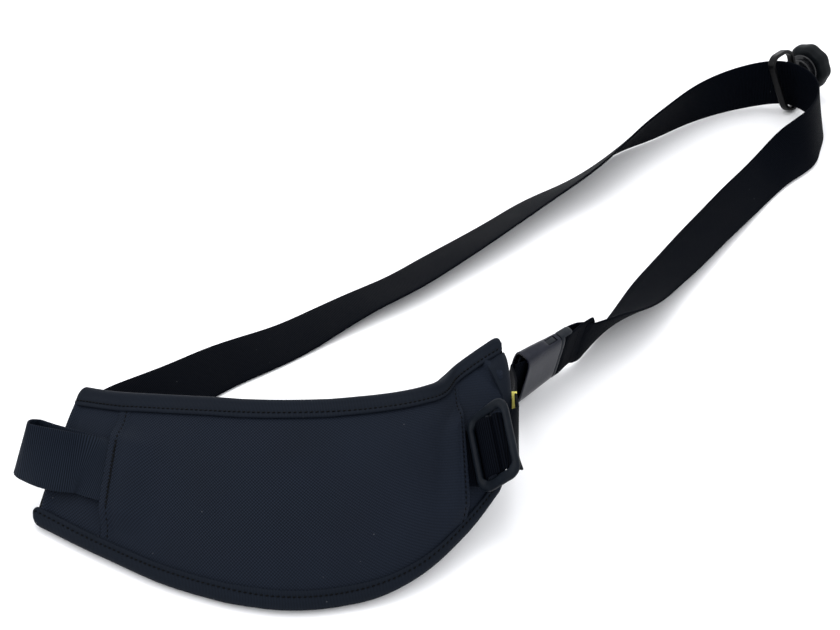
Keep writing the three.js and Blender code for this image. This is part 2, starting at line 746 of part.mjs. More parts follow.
addPiece("adjuster_webbing", webbing(adjustFrames), 0x161a22, 0.8);

// ---------- side release buckle ----------
// Oval housing sections from the mouth to the release end: x, half height, half thickness.
const HOUSING_ROWS = [
  [-4, 22.6, 7.4],
  [-1, 22.4, 7.1],
  [8, 22.2, 6.5],
  [16, 21.6, 6],
  [24, 21, 5.6],
  [31, 20.4, 5.2],
];
const HOUSING_SHAPE = 5; // squareness of the oval's ends, 2 is a plain ellipse
const HOUSING_CROWN = 4; // squareness of its broad faces
const WALL = 1.7;
function ovalRing(x, halfY, halfZ, shape, steps) {
  const ring = [];
  for (let i = 0; i < steps; i++) {
    const a = (2 * Math.PI * (i + 0.5)) / steps;
    const c = Math.cos(a);
    const d = Math.sin(a);
    const y = Math.sign(c) * Math.abs(c) ** (2 / shape) * halfY;
    const z = Math.sign(d) * Math.abs(d) ** (2 / HOUSING_CROWN) * halfZ;
    ring.push(V(x, y, z));
  }
  return ring;
}
const OVAL_STEPS = 36;
const ovalLoft = (rows) =>
  loft(rows.map(([x, hy, hz]) => ovalRing(x, hy, hz, HOUSING_SHAPE, OVAL_STEPS)));
const cut = (rows, from, to) => {
  const kept = rows.filter(([x]) => x > from && x < to);
  const at = (x) => {
    const index = rows.findIndex((row) => row[0] >= x);
    const i = Math.min(Math.max(index - 1, 0), rows.length - 2);
    const t = (x - rows[i][0]) / (rows[i + 1][0] - rows[i][0]);
    return [x, 1, 2].map((v, k) => (k ? rows[i][k] + (rows[i + 1][k] - rows[i][k]) * t : x));
  };
  return [at(from), ...kept, at(to)].map(([x, hy, hz]) => [x, hy - WALL, hz - WALL]);
};
const MOUTH_FROM = -4;
const MOUTH_DEPTH = 14;
const MOUTH_HALF = 5;
const SOCKET_FROM = 16;
const HOUSING_END = 31;
const WINDOW_FROM = 19;
const WINDOW_TO = 28;
function buckleHousing() {
  const mouth = block(MOUTH_FROM - 1, MOUTH_DEPTH, -19.8, 19.8, -MOUTH_HALF, MOUTH_HALF);
  const socket = cut(HOUSING_ROWS, SOCKET_FROM, HOUSING_END);
  socket[socket.length - 1][0] = HOUSING_END + 0.5;
  const bar = new THREE.CylinderGeometry(BAR_R, BAR_R, 44, 10).translate(FEMALE_BAR_X, 0, 0);
  const body = solid(ovalLoft(HOUSING_ROWS))
    .subtract(solid(mouth))
    .subtract(solid(ovalLoft(socket)))
    .subtract(solid(block(WINDOW_FROM, WINDOW_TO, -30, 30, -2.4, 2.4)));
  return geometryOf(body.add(solid(bar)));
}
addPiece("buckle_housing", inBuckle(buckleHousing()), 0x3a3d42, 0.25);

// Plug: base with a bar for the strap, a middle guide and two side prongs in the windows.
const PLUG_FROM = 31.6;
const PLUG_TO = 42.5;
function bucklePlug() {
  const base = solid(
    ovalLoft([
      [PLUG_FROM, 20.2, 4.6],
      [PLUG_FROM + 1.2, 20.8, 5],
      [PLUG_TO - 2, 21.2, 4.6],
      [PLUG_TO, 20.6, 3.6],
    ]),
  );
  const slot = solid(block(34.2, 50, -19.6, 19.6, -8, 8));
  const bar = solid(
    new THREE.CylinderGeometry(BAR_R, BAR_R, 40.4, 10).translate(MALE_BAR_X, 0, 0),
  );
  let plug = base.subtract(slot).add(bar);
  plug = plug.add(solid(block(SOCKET_FROM + 3, PLUG_FROM + 1, -3, 3, -1.3, 1.3)));
  for (const side of [-1, 1]) {
    const near = (a, b) => [Math.min(side * a, side * b), Math.max(side * a, side * b)];
    const arm = near(13.6, 16.2);
    const head = near(14.6, 20.3);
    plug = plug.add(solid(block(SOCKET_FROM + 3.6, PLUG_FROM + 1, ...arm, -1.6, 1.6)));
    plug = plug.add(solid(block(SOCKET_FROM + 3.9, WINDOW_TO - 1.2, ...head, -1.9, 1.9)));
  }
  return geometryOf(plug);
}
addPiece("buckle_plug", inBuckle(bucklePlug()), 0x2a2d31, 0.4);

// ---------- slider ring, swivel stem and knob ----------
const RING_ORIGIN = V(294.2, 286.8, 24.3);
const SPIN_AXIS = V(0.68, 0.733, 0).normalize(); // from the ring out to the knob
const RING_UP = V(-0.4, 0.02, 0.92); // long side of the ring, leaning back over the run
const RING_HALF_LONG = 23.6;
const RING_HALF_SHORT = 11;
const RING_WIDE = 1.5; // half thickness of the flat band
const RING_THICK = 3.2; // half its width, along the strap
function sliderRing() {
  const loop = roundedLoop(RING_HALF_SHORT, RING_HALF_LONG, 8, 5);
  const across = RING_UP.clone().cross(SPIN_AXIS).normalize();
  const long = SPIN_AXIS.clone().cross(across).normalize();
  const ring = sweptLoop(loop, RING_WIDE, RING_THICK, () => 0);
  return place(ring, RING_ORIGIN, SPIN_AXIS, long);
}
addPiece("slider_ring", sliderRing(), 0x15171b, 0.35);

const STEM_ROWS = [
  // radius, distance from the ring's outer end
  [0.01, 0],
  [5.2, 0],
  [6, 0.8],
  [6, 2.4],
  [4.6, 3.2],
  [4.6, 5],
  [9.2, 5.8],
  [10, 6.6],
  [10, 8.6],
  [9.4, 9.3],
  [12.4, 9.6],
  [13, 10.2],
  [13, 11.2],
  [12.4, 11.7],
  [6.5, 12],
  [0.01, 12],
];
const alongAxis = (geometry, start) => {
  const across = SPIN_AXIS.clone().cross(V(0, 0, 1)).normalize();
  return place(geometry, start, across, SPIN_AXIS);
};
const STEM_LONG = STEM_ROWS[STEM_ROWS.length - 1][1];
const STEM_START = RING_HALF_SHORT + RING_WIDE + 0.3;
const stemStart = RING_ORIGIN.clone().addScaledVector(SPIN_AXIS, STEM_START);
function lathe(rows, steps) {
  const outline = rows.map(([r, h]) => new THREE.Vector2(r, h));
  outline[0].x = 0;
  outline[outline.length - 1].x = 0;
  return new THREE.LatheGeometry(outline, steps);
}
addPiece("swivel_stem", alongAxis(geometryOf(solid(lathe(STEM_ROWS, 24))), stemStart), 0x202226, 0.2);

const KNOB_R = 19;
const KNOB_LOBE = 1;
const KNOB_LOBES = 8;
const KNOB_THICK = 13;
const KNOB_STEPS = 64;
const KNOB_PROFILE = [
  // height along the axis, share of the full radius
  [0, 0.84],
  [1.6, 0.95],
  [4, 1],
  [9.5, 1],
  [11.8, 0.95],
  [13, 0.86],
];
function knob() {
  const rings = KNOB_PROFILE.map(([h, share]) => {
    const ring = [];
    for (let i = 0; i < KNOB_STEPS; i++) {
      const a = (2 * Math.PI * i) / KNOB_STEPS;
      const r = (KNOB_R - KNOB_LOBE * (0.5 - 0.5 * Math.cos(KNOB_LOBES * a))) * share;
      ring.push(V(r * Math.cos(a), h, r * Math.sin(a)));
    }
    return ring;
  });
  return loft(rings);
}
const knobStart = stemStart.clone().addScaledVector(SPIN_AXIS, STEM_LONG + 0.3);
addPiece("knob", alongAxis(knob(), knobStart), 0x1a1c20, 0.7);

// ---------- tag ----------
const TAG_V = 0.465;
const TAG_LONG = 3.2;
const TAG_HALF_WIDTH = 5.6;
const TAG_HALF_THICK = 0.4;
const tagStart = padMiddle(coreS(1, TAG_V), TAG_V);
const tagPlate = block(0.4, TAG_LONG, -TAG_HALF_WIDTH, TAG_HALF_WIDTH, -TAG_HALF_THICK, TAG_HALF_THICK);
addPiece("side_tag", place(tagPlate, tagStart, V(1, 0, 0), padUp(7, TAG_V)), 0xc9a21c, 0.8);

group.updateMatrixWorld(true);
const box = new THREE.Box3().setFromObject(group);
const middle = box.getCenter(V(0, 0, 0));
group.children.forEach((m) => m.geometry.translate(-middle.x, -middle.y, -box.min.z));
export default group;
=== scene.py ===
# %% [markdown]
# # A padded crossbody strap, laid out on a table
#
# The strap is a curved shoulder pad, 38 mm webbing that runs out to a slider ring and back, a
# side release buckle that closes the loop, and a three-bar adjuster on the pad's right end. This
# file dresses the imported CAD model: it keeps every place and size from there, and makes the cloth,
# the thread, the moulded parts and the light around it.
#
# The first cell loads the CAD model as a fixed frame. Every later piece is placed from it.

# %% Load the frame
import math

import bmesh
import bpy
import numpy as np
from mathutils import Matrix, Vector


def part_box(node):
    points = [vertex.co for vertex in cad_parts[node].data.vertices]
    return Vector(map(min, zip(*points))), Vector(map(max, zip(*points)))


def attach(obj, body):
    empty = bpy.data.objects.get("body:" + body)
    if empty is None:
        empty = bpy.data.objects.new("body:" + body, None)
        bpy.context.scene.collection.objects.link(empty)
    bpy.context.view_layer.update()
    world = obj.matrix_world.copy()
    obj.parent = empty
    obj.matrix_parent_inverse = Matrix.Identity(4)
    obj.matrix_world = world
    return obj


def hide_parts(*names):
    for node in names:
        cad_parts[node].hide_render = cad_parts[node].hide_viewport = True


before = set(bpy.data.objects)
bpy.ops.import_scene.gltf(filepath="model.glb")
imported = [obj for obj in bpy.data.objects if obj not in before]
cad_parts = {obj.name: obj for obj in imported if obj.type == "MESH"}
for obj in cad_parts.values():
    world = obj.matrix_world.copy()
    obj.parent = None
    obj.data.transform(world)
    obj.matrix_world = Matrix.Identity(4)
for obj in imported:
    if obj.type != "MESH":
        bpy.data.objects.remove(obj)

MM = 0.001
SCENE = bpy.context.scene
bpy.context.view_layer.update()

# %% [markdown]
# ## The camera
#
# The strap is seen from a standing person's height, looking down at 36 degrees from the pad's
# side, through a long lens that hardly bends the straight runs. The target is a point on the
# table near the middle of the loop, so the camera is worked out from that point, the angle and
# the distance. A long lens and a far camera keep the near pad and the far knob in true proportion.

# %% Camera
LOOK_AT = Vector((-0.0383, -0.0108, 0.0002))
ELEVATION = math.radians(36)
CAMERA_DISTANCE = 1.59
SENSOR = 36
LENS = 96.43

back = Vector((0, -math.cos(ELEVATION), math.sin(ELEVATION)))
camera = bpy.data.objects.new("camera", bpy.data.cameras.new("camera"))
camera.data.sensor_width = SENSOR
camera.data.lens = LENS
camera.data.clip_start = 0.05
camera.data.clip_end = 30
camera.location = LOOK_AT + back * CAMERA_DISTANCE
camera.rotation_euler = back.to_track_quat("Z", "Y").to_euler()
SCENE.collection.objects.link(camera)
SCENE.camera = camera
print("camera at", [round(v, 3) for v in camera.location])

# %% [markdown]
# ## Floor and light
#
# Black cloth shows its weave only where something bright is reflected by it, so the strap lies on
# a white sweep under big soft lamps, as for a catalogue. A pale world gives the fill, wide lamps
# above and at the left give the shine along the folds, and one behind lights the webbing's edges.

# %% Floor, world and lamps
SCENE.view_settings.view_transform = "Standard"
FLOOR_SIZE = 8.0
FLOOR_DROP = 0.0004  # the floor lies just under the lowest thread


def link(obj):
    SCENE.collection.objects.link(obj)
    return obj


half = FLOOR_SIZE / 2
floor_corners = [(x * half, y * half, -FLOOR_DROP) for x, y in ((-1, -1), (1, -1), (1, 1), (-1, 1))]
floor_mesh = bpy.data.meshes.new("floor")
floor_mesh.from_pydata(floor_corners, [], [(0, 1, 2, 3)])
floor = link(bpy.data.objects.new("floor", floor_mesh))
paper = bpy.data.materials.new("white_paper")
paper.use_nodes = True
paper_shader = paper.node_tree.nodes["Principled BSDF"]
paper_shader.inputs["Base Color"].default_value = (0.93, 0.93, 0.94, 1)
paper_shader.inputs["Roughness"].default_value = 0.9
paper_shader.inputs["Specular IOR Level"].default_value = 0.2
floor.data.materials.append(paper)

world = bpy.data.worlds.new("studio")
world.use_nodes = True
world.node_tree.nodes["Background"].inputs["Color"].default_value = (0.97, 0.98, 1, 1)
world.node_tree.nodes["Background"].inputs["Strength"].default_value = 1.4
SCENE.world = world


def lamp(name, place, aim, size, power, color=(1, 1, 1)):
    light = bpy.data.lights.new(name, "AREA")
    light.shape = "RECTANGLE"
    light.size, light.size_y = size
    light.energy = power
    light.color = color
    obj = link(bpy.data.objects.new(name, light))
    obj.location = place
    obj.rotation_euler = (Vector(place) - Vector(aim)).to_track_quat("Z", "Y").to_euler()
    return obj


lamp("overhead_softbox", (-0.3, 0.5, 1.9), (-0.05, 0, 0), (1.6, 1.2), 12)
lamp("left_softbox", (-1.6, -0.2, 1.1), (-0.1, -0.1, 0), (0.9, 0.9), 6, (0.97, 0.98, 1))
lamp("back_softbox", (0.5, 2.2, 1.0), (0, 0, 0), (1.8, 0.7), 6)

# %% [markdown]
# ## Threads and wear as node groups
#
# Four effects turn up in many finishes: a basket weave, a ribbed webbing weave, slow uneven
# shading with a little lint, and the fine grain of moulded plastic. Each is one shader node group
# with named inputs, so a material only chooses its pitch and strength. The two weaves read a
# place in metres from the piece's own UV map, so the yarns follow the cloth round every bend.

# %% Node helpers
def math_node(tree, operation, a, b=None, c=None):
    """One Math node; a number or a socket may stand for each operand."""
    node = tree.nodes.new("ShaderNodeMath")
    node.operation = operation
    for slot, value in enumerate((a, b, c)):
        if value is None:
            continue
        if isinstance(value, bpy.types.NodeSocket):
            tree.links.new(value, node.inputs[slot])
        else:
            node.inputs[slot].default_value = value
    return node.outputs[0]


def effect_group(name, inputs, outputs):
    """An empty node group with float or vector inputs and float outputs."""
    tree = bpy.data.node_groups.new(name, "ShaderNodeTree")
    for label, kind, value in inputs:
        socket = tree.interface.new_socket(label, in_out="INPUT", socket_type=kind)
        if value is not None:
            socket.default_value = value
    for label in outputs:
        tree.interface.new_socket(label, in_out="OUTPUT", socket_type="NodeSocketFloat")
    return tree, tree.nodes.new("NodeGroupInput"), tree.nodes.new("NodeGroupOutput")


def hump(tree, value):
    """Rounded hump over each whole step of value: 1 in the middle, 0 at the step's ends."""
    centred = math_node(tree, "SUBTRACT", math_node(tree, "FRACT", value), 0.5)
    squared = math_node(tree, "POWER", centred, 2.0)
    return math_node(tree, "SUBTRACT", 1.0, math_node(tree, "MULTIPLY", squared, 4.0))


FLOAT, VECTOR = "NodeSocketFloat", "NodeSocketVector"

# %% Basket weave
basket, group_in, group_out = effect_group(
    "basket_weave", [("Place", VECTOR, None), ("Pitch", FLOAT, 0.0015)], ["Height", "Over"]
)
split = basket.nodes.new("ShaderNodeSeparateXYZ")
basket.links.new(group_in.outputs["Place"], split.inputs[0])
across = math_node(basket, "DIVIDE", split.outputs["X"], group_in.outputs["Pitch"])
along = math_node(basket, "DIVIDE", split.outputs["Y"], group_in.outputs["Pitch"])
cell_sum = math_node(basket, "ADD", math_node(basket, "FLOOR", across), math_node(basket, "FLOOR", along))
over = math_node(basket, "FLOORED_MODULO", cell_sum, 2.0)
across_hump, along_hump = hump(basket, across), hump(basket, along)
FLATTEN = 0.45  # how far a yarn dips at the ends of its float
ends_across = math_node(basket, "MULTIPLY_ADD", across_hump, FLATTEN, 1 - FLATTEN)
ends_along = math_node(basket, "MULTIPLY_ADD", along_hump, FLATTEN, 1 - FLATTEN)
warp_height = math_node(basket, "MULTIPLY", across_hump, ends_along)
weft_height = math_node(basket, "MULTIPLY", along_hump, ends_across)
warp_part = math_node(basket, "MULTIPLY", warp_height, over)
weft_part = math_node(basket, "MULTIPLY", weft_height, math_node(basket, "SUBTRACT", 1.0, over))
basket.links.new(math_node(basket, "ADD", warp_part, weft_part), group_out.inputs["Height"])
basket.links.new(over, group_out.inputs["Over"])

# %% Webbing weave
ribbed, group_in, group_out = effect_group(
    "webbing_weave",
    [("Place", VECTOR, None), ("Rib", FLOAT, 0.0011), ("Yarn", FLOAT, 0.0008), ("Half Width", FLOAT, 0.019)],
    ["Height", "Selvedge"],
)
split = ribbed.nodes.new("ShaderNodeSeparateXYZ")
ribbed.links.new(group_in.outputs["Place"], split.inputs[0])
rib_count = math_node(ribbed, "DIVIDE", split.outputs["Y"], group_in.outputs["Rib"])
yarn_count = math_node(ribbed, "DIVIDE", split.outputs["X"], group_in.outputs["Yarn"])
odd_rib = math_node(ribbed, "FLOORED_MODULO", math_node(ribbed, "FLOOR", rib_count), 2.0)
stagger = math_node(ribbed, "MULTIPLY", odd_rib, 0.5)
rib_hump = hump(ribbed, rib_count)
yarn_hump = hump(ribbed, math_node(ribbed, "ADD", yarn_count, stagger))
YARN_RELIEF = 0.18  # how much of a rib's height its single yarns take
yarn_share = math_node(ribbed, "MULTIPLY_ADD", yarn_hump, YARN_RELIEF, 1 - YARN_RELIEF)
ribbed.links.new(math_node(ribbed, "MULTIPLY", rib_hump, yarn_share), group_out.inputs["Height"])
off_middle = math_node(ribbed, "ABSOLUTE", split.outputs["X"])
from_edge = math_node(ribbed, "SUBTRACT", group_in.outputs["Half Width"], off_middle)
SELVEDGE = 0.0022  # the woven edge is this wide
edge_share = math_node(ribbed, "SUBTRACT", 1.0, math_node(ribbed, "DIVIDE", from_edge, SELVEDGE))
edge_share = math_node(ribbed, "MAXIMUM", edge_share, 0.0)
ribbed.links.new(math_node(ribbed, "MINIMUM", edge_share, 1.0), group_out.inputs["Selvedge"])

# %% Uneven shade and lint
uneven, group_in, group_out = effect_group(
    "uneven_shade",
    [("Place", VECTOR, None), ("Patch", FLOAT, 28.0), ("Lint", FLOAT, 0.3)],
    ["Shade", "Lint"],
)
patches = uneven.nodes.new("ShaderNodeTexNoise")
patches.inputs["Detail"].default_value = 4
uneven.links.new(group_in.outputs["Place"], patches.inputs["Vector"])
uneven.links.new(group_in.outputs["Patch"], patches.inputs["Scale"])
uneven.links.new(patches.outputs["Fac"], group_out.inputs["Shade"])
specks = uneven.nodes.new("ShaderNodeTexVoronoi")
specks.inputs["Scale"].default_value = 210
uneven.links.new(group_in.outputs["Place"], specks.inputs["Vector"])
SPECK, SPECK_RARITY = 0.085, 0.66  # a speck's share of its cell, and how few cells have one
near = math_node(uneven, "LESS_THAN", specks.outputs["Distance"], SPECK)
chosen = uneven.nodes.new("ShaderNodeTexNoise")
chosen.inputs["Scale"].default_value = 95
uneven.links.new(group_in.outputs["Place"], chosen.inputs["Vector"])
rare = math_node(uneven, "GREATER_THAN", chosen.outputs["Fac"], SPECK_RARITY)
lint = math_node(uneven, "MULTIPLY", math_node(uneven, "MULTIPLY", near, rare), group_in.outputs["Lint"])
uneven.links.new(lint, group_out.inputs["Lint"])

# %% Moulded grain
grain, group_in, group_out = effect_group(
    "moulded_grain",
    [("Place", VECTOR, None), ("Fineness", FLOAT, 1800.0), ("Scuff", FLOAT, 220.0)],
    ["Height", "Scuff"],
)
pits = grain.nodes.new("ShaderNodeTexNoise")
pits.inputs["Detail"].default_value = 3
grain.links.new(group_in.outputs["Place"], pits.inputs["Vector"])
grain.links.new(group_in.outputs["Fineness"], pits.inputs["Scale"])
grain.links.new(pits.outputs["Fac"], group_out.inputs["Height"])
rubs = grain.nodes.new("ShaderNodeTexNoise")
rubs.inputs["Detail"].default_value = 6
rubs.inputs["Roughness"].default_value = 0.7
grain.links.new(group_in.outputs["Place"], rubs.inputs["Vector"])
grain.links.new(group_in.outputs["Scuff"], rubs.inputs["Scale"])
grain.links.new(rubs.outputs["Fac"], group_out.inputs["Scuff"])
print("effect groups", [g.name for g in bpy.data.node_groups])

# %% [markdown]
# ## Finishes
#
# Every cloth finish works the same way: the weave group's height drives a bump and, through a
# colour ramp, the difference between the top of a yarn and the gap beside it, the gap's darker colour
# being painted shade. The slow shade moves that colour a little, and lint adds pale specks. Moulded
# pieces take a fine bump, and a colour and a roughness that wander with light scuffs.

# %% Material makers
def place_node(tree, kind, turn=0.0):
    """Where a pattern reads its place: the cloth's own UV map in metres, or the object's space."""
    if kind == "uv":
        node = tree.nodes.new("ShaderNodeUVMap")
        node.uv_map = "cut"
        turned = tree.nodes.new("ShaderNodeMapping")
        turned.inputs["Rotation"].default_value = (0, 0, turn)
        tree.links.new(node.outputs["UV"], turned.inputs["Vector"])
        return turned.outputs["Vector"]
    return tree.nodes.new("ShaderNodeTexCoord").outputs["Object"]


def use_group(tree, group, place, **values):
    node = tree.nodes.new("ShaderNodeGroup")
    node.node_tree = group
    tree.links.new(place, node.inputs["Place"])
    for label, value in values.items():
        node.inputs[label.replace("_", " ")].default_value = value
    return node


def ramp(tree, factor, stops):
    node = tree.nodes.new("ShaderNodeValToRGB")
    tree.links.new(factor, node.inputs["Fac"])
    elements = node.color_ramp.elements
    while len(elements) < len(stops):
        elements.new(0.5)
    for element, (position, color) in zip(elements, stops):
        element.position = position
        element.color = (*color, 1)
    return node.outputs["Color"]


def mix_color(tree, factor, a, b, blend="MIX"):
    node = tree.nodes.new("ShaderNodeMix")
    node.data_type = "RGBA"
    node.blend_type = blend
    for socket, value in ((node.inputs["Factor"], factor), (node.inputs["A"], a), (node.inputs["B"], b)):
        if isinstance(value, bpy.types.NodeSocket):
            tree.links.new(value, socket)
        elif isinstance(value, tuple):
            socket.default_value = (*value, 1)
        else:
            socket.default_value = value
    return node.outputs["Result"]


def bump(tree, height, distance):
    node = tree.nodes.new("ShaderNodeBump")
    node.inputs["Distance"].default_value = distance
    node.inputs["Strength"].default_value = 1.0
    tree.links.new(height, node.inputs["Height"])
    return node.outputs["Normal"]


def new_material(name):
    """A material with its node tree and its Principled shader."""
    material = bpy.data.materials.new(name)
    material.use_nodes = True
    return material, material.node_tree, material.node_tree.nodes["Principled BSDF"]


WHITE, SHADED = (1.0, 1.0, 1.0), (0.72, 0.72, 0.72)  # the lightest and darkest of the slow shade
LINT_COLOR = (0.13, 0.135, 0.145)
PAINTED_FADE_SHARE, PAINTED_FADE_TOP = 0.75, 0.65  # how far the painted light fade takes the weave to one colour, and how near its top
CLOTH_WEAR, SCUFF_WEAR = 0.18, 0.22  # how far the roughness wanders in all


def cloth(name, group, pitch, gap, top, depth, rough, shine, lint=0.3, turn=0.0, painted_light_fade=None):
    """A woven finish: gap and top are the colours beside and on a yarn, the gap's darker colour being painted
    shade; depth is its bump in metres.
    """
    material, tree, shader = new_material(name)
    weave = use_group(tree, group, place_node(tree, "uv", turn), **pitch)
    shade = use_group(tree, uneven, place_node(tree, "object"), Lint=lint)
    # painted shade: where the weave is low the colour goes to the darker gap colour, the shade between the
    # yarns
    yarn = ramp(tree, weave.outputs["Height"], [(0.15, gap), (0.9, top)])
    if painted_light_fade:
        # painted light: between these two places along X the weave fades to a more even colour, for the cloth
        # turning from the light so that its weave shows less
        split = tree.nodes.new("ShaderNodeSeparateXYZ")
        tree.links.new(place_node(tree, "object"), split.inputs[0])
        slow = tree.nodes.new("ShaderNodeMapRange")
        slow.inputs["From Min"].default_value, slow.inputs["From Max"].default_value = painted_light_fade
        slow.inputs["To Max"].default_value = PAINTED_FADE_SHARE
        tree.links.new(split.outputs["X"], slow.inputs["Value"])
        middle = tuple((1 - PAINTED_FADE_TOP) * a + PAINTED_FADE_TOP * b for a, b in zip(gap, top))
        yarn = mix_color(tree, slow.outputs["Result"], yarn, middle)
    toned = mix_color(tree, shade.outputs["Shade"], SHADED, WHITE)
    color = mix_color(tree, 1.0, yarn, toned, "MULTIPLY")
    color = mix_color(tree, shade.outputs["Lint"], color, LINT_COLOR)
    tree.links.new(color, shader.inputs["Base Color"])
    worn = math_node(tree, "MULTIPLY_ADD", shade.outputs["Shade"], CLOTH_WEAR, rough - CLOTH_WEAR / 2)
    tree.links.new(worn, shader.inputs["Roughness"])
    tree.links.new(bump(tree, weave.outputs["Height"], depth), shader.inputs["Normal"])
    shader.inputs["Specular IOR Level"].default_value = shine
    return material


def moulded(name, base, rough, shine, coat=0.0, depth=0.00004, fineness=1800.0):
    """A moulded or coated hard finish with fine grain and scuffs."""
    material, tree, shader = new_material(name)
    surface = use_group(tree, grain, place_node(tree, "object"), Fineness=fineness)
    scuffed = tuple(1.5 * c + 0.0015 for c in base)
    color = ramp(tree, surface.outputs["Scuff"], [(0.35, base), (0.8, scuffed)])
    tree.links.new(color, shader.inputs["Base Color"])
    worn = math_node(tree, "MULTIPLY_ADD", surface.outputs["Scuff"], SCUFF_WEAR, rough - SCUFF_WEAR / 2)
    tree.links.new(worn, shader.inputs["Roughness"])
    tree.links.new(bump(tree, surface.outputs["Height"], depth), shader.inputs["Normal"])
    shader.inputs["Coat Weight"].default_value = coat
    shader.inputs["Coat Roughness"].default_value = 0.12
    shader.inputs["Specular IOR Level"].default_value = shine
    return material


# %% [markdown]
# The pad's cloth is a tight basket weave cut on the bias, its lining a looser one. Tape, webbing,
# tag and thread are all ribbed, each with its own rib and yarn. Black nylon has almost no colour
# of its own, so each black is told from the next mostly by how much light its surface returns.

# %% Cloth finishes
BIAS = math.radians(38)  # the pad's cloth is cut across its weave
WEBBING_PITCH = {"Rib": 0.0013, "Yarn": 0.0009}
# painted light: the pad's weave fades to a more even colour towards its right end, where the cloth turns from
# the light
pad_cloth = cloth(
    "pad_ballistic_cloth", basket, {"Pitch": 0.00145},
    gap=(0.0022, 0.0033, 0.006), top=(0.0112, 0.0158, 0.0265),
    depth=0.0002, rough=0.68, shine=0.05, turn=BIAS, painted_light_fade=(-0.12, 0.0),
)
lining_cloth = cloth(
    "pad_lining_knit", basket, {"Pitch": 0.0021},
    gap=(0.0007, 0.001, 0.0018), top=(0.0042, 0.0056, 0.009),
    depth=0.00045, rough=0.85, shine=0.04, lint=0.5,
)
tape_cloth = cloth(
    "edge_tape_rib", ribbed, {"Rib": 0.0009, "Yarn": 0.0006, "Half_Width": 0.03},
    gap=(0.0018, 0.003, 0.0052), top=(0.0083, 0.0117, 0.019),
    depth=0.00014, rough=0.66, shine=0.05,
)
strap_cloth = cloth(
    "strap_webbing", ribbed, WEBBING_PITCH,
    gap=(0.0002, 0.0003, 0.0007), top=(0.0022, 0.0032, 0.0058),
    depth=0.00026, rough=0.6, shine=0.015,
)
# the grab loop is the strap's own webbing; its finish is a lighter copy of the strap's, painted light for the
# light the loop catches
lit_loop_cloth = cloth(
    "loop_webbing_painted_light", ribbed, WEBBING_PITCH,
    gap=(0.0005, 0.0011, 0.0023), top=(0.0088, 0.0135, 0.0235),
    depth=0.0003, rough=0.6, shine=0.05,
)
tag_cloth = cloth(
    "tag_tape", ribbed, {"Rib": 0.0006, "Yarn": 0.0005},
    gap=(0.7, 0.6, 0.09), top=(0.95, 0.88, 0.25),
    depth=0.00008, rough=0.7, shine=0.2,
)
thread_fibre = cloth(
    "thread", ribbed, {"Rib": 0.0007, "Yarn": 0.0004},
    gap=(0.0004, 0.0005, 0.0007), top=(0.002, 0.0024, 0.0034),
    depth=0.00006, rough=0.6, shine=0.06,
)

# %% Hard finishes
glide_plastic = moulded("glide_plastic", (0.0035, 0.0052, 0.008), rough=0.42, shine=0.05, coat=0.02)
housing_plastic = moulded(
    "housing_plastic", (0.008, 0.009, 0.0145), rough=0.22, shine=0.1, coat=0.05, depth=0.00001
)
plug_plastic = moulded("plug_plastic", (0.007, 0.009, 0.0125), rough=0.4, shine=0.1, coat=0.04)
ring_coat = moulded("ring_coat", (0.001, 0.0011, 0.0015), rough=0.3, shine=0.08, coat=0.06, depth=0.00002)
stem_coat = moulded("stem_coat", (0.004, 0.0044, 0.0055), rough=0.16, shine=0.2, coat=0.2, depth=0.000006)
knob_rubber = moulded(
    "knob_rubber", (0.0022, 0.0032, 0.0042), rough=0.55, shine=0.07, depth=0.00008, fineness=1100.0
)
print("finishes", len(bpy.data.materials))

# %% [markdown]
# ## Reading the webbing out of the CAD
#
# Each length of webbing in the CAD model is a row of rings with eight corners. Rather than draw
# the run again, the next cells read it back: a walk over the mesh from one end cap meets the
# rings one after another, and each gives a centre and a width direction. A smooth curve through
# them gives as many fine rings as the cloth needs, with rounded woven edges.

# %% Mesh helpers
def grid_faces(rows, columns, closed_columns=False, flip=False):
    """Quads over a grid of points stored row by row."""
    steps = columns if closed_columns else columns - 1
    i, j = np.meshgrid(np.arange(rows - 1), np.arange(steps), indexing="ij")
    k = (j + 1) % columns
    row, next_row = i * columns, (i + 1) * columns
    quads = np.stack([row + j, row + k, next_row + k, next_row + j], -1).reshape(-1, 4)
    return quads[:, ::-1] if flip else quads


def mesh_piece(name, points, faces, uv=None, material=None):
    """A smooth mesh object at the origin, its place in its points, with a UV map in metres if given."""
    mesh = bpy.data.meshes.new(name)
    mesh.from_pydata(np.asarray(points, float).tolist(), [], [list(map(int, f)) for f in faces])
    if uv is not None:
        layer = mesh.uv_layers.new(name="cut")
        corner = np.empty(len(mesh.loops), dtype=np.int64)
        mesh.loops.foreach_get("vertex_index", corner)
        layer.data.foreach_set("uv", np.asarray(uv, float)[corner].ravel())
    mesh.polygons.foreach_set("use_smooth", [True] * len(mesh.polygons))
    mesh.validate()
    obj = link(bpy.data.objects.new(name, mesh))
    if material:
        mesh.materials.append(material)
    outward(obj)
    return obj


def outward(obj):
    """Turns a closed mesh's faces out if its volume comes out negative."""
    bm = bmesh.new()
    bm.from_mesh(obj.data)
    if bm.calc_volume(signed=True) < 0:
        bmesh.ops.reverse_faces(bm, faces=bm.faces)
        bm.to_mesh(obj.data)
    bm.free()


def finish_piece(obj, nodes, body="strap"):
    """Attaches a piece to the body it rides on and hides the CAD nodes it stands for."""
    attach(obj, body)
    if nodes:
        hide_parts(*nodes)
    return obj


# %% Rings of a CAD webbing node
RING_CORNERS = 8
FLAT = 0.99999  # cosine between two normals of one plane
MERGE = 1e-6


def is_cap_middle(vertex):
    """Whether a vertex is the middle of a flat end cap, where a face of each ring side meets."""
    faces = vertex.link_faces
    return len(faces) == RING_CORNERS and all(f.normal.dot(faces[0].normal) > FLAT for f in faces)


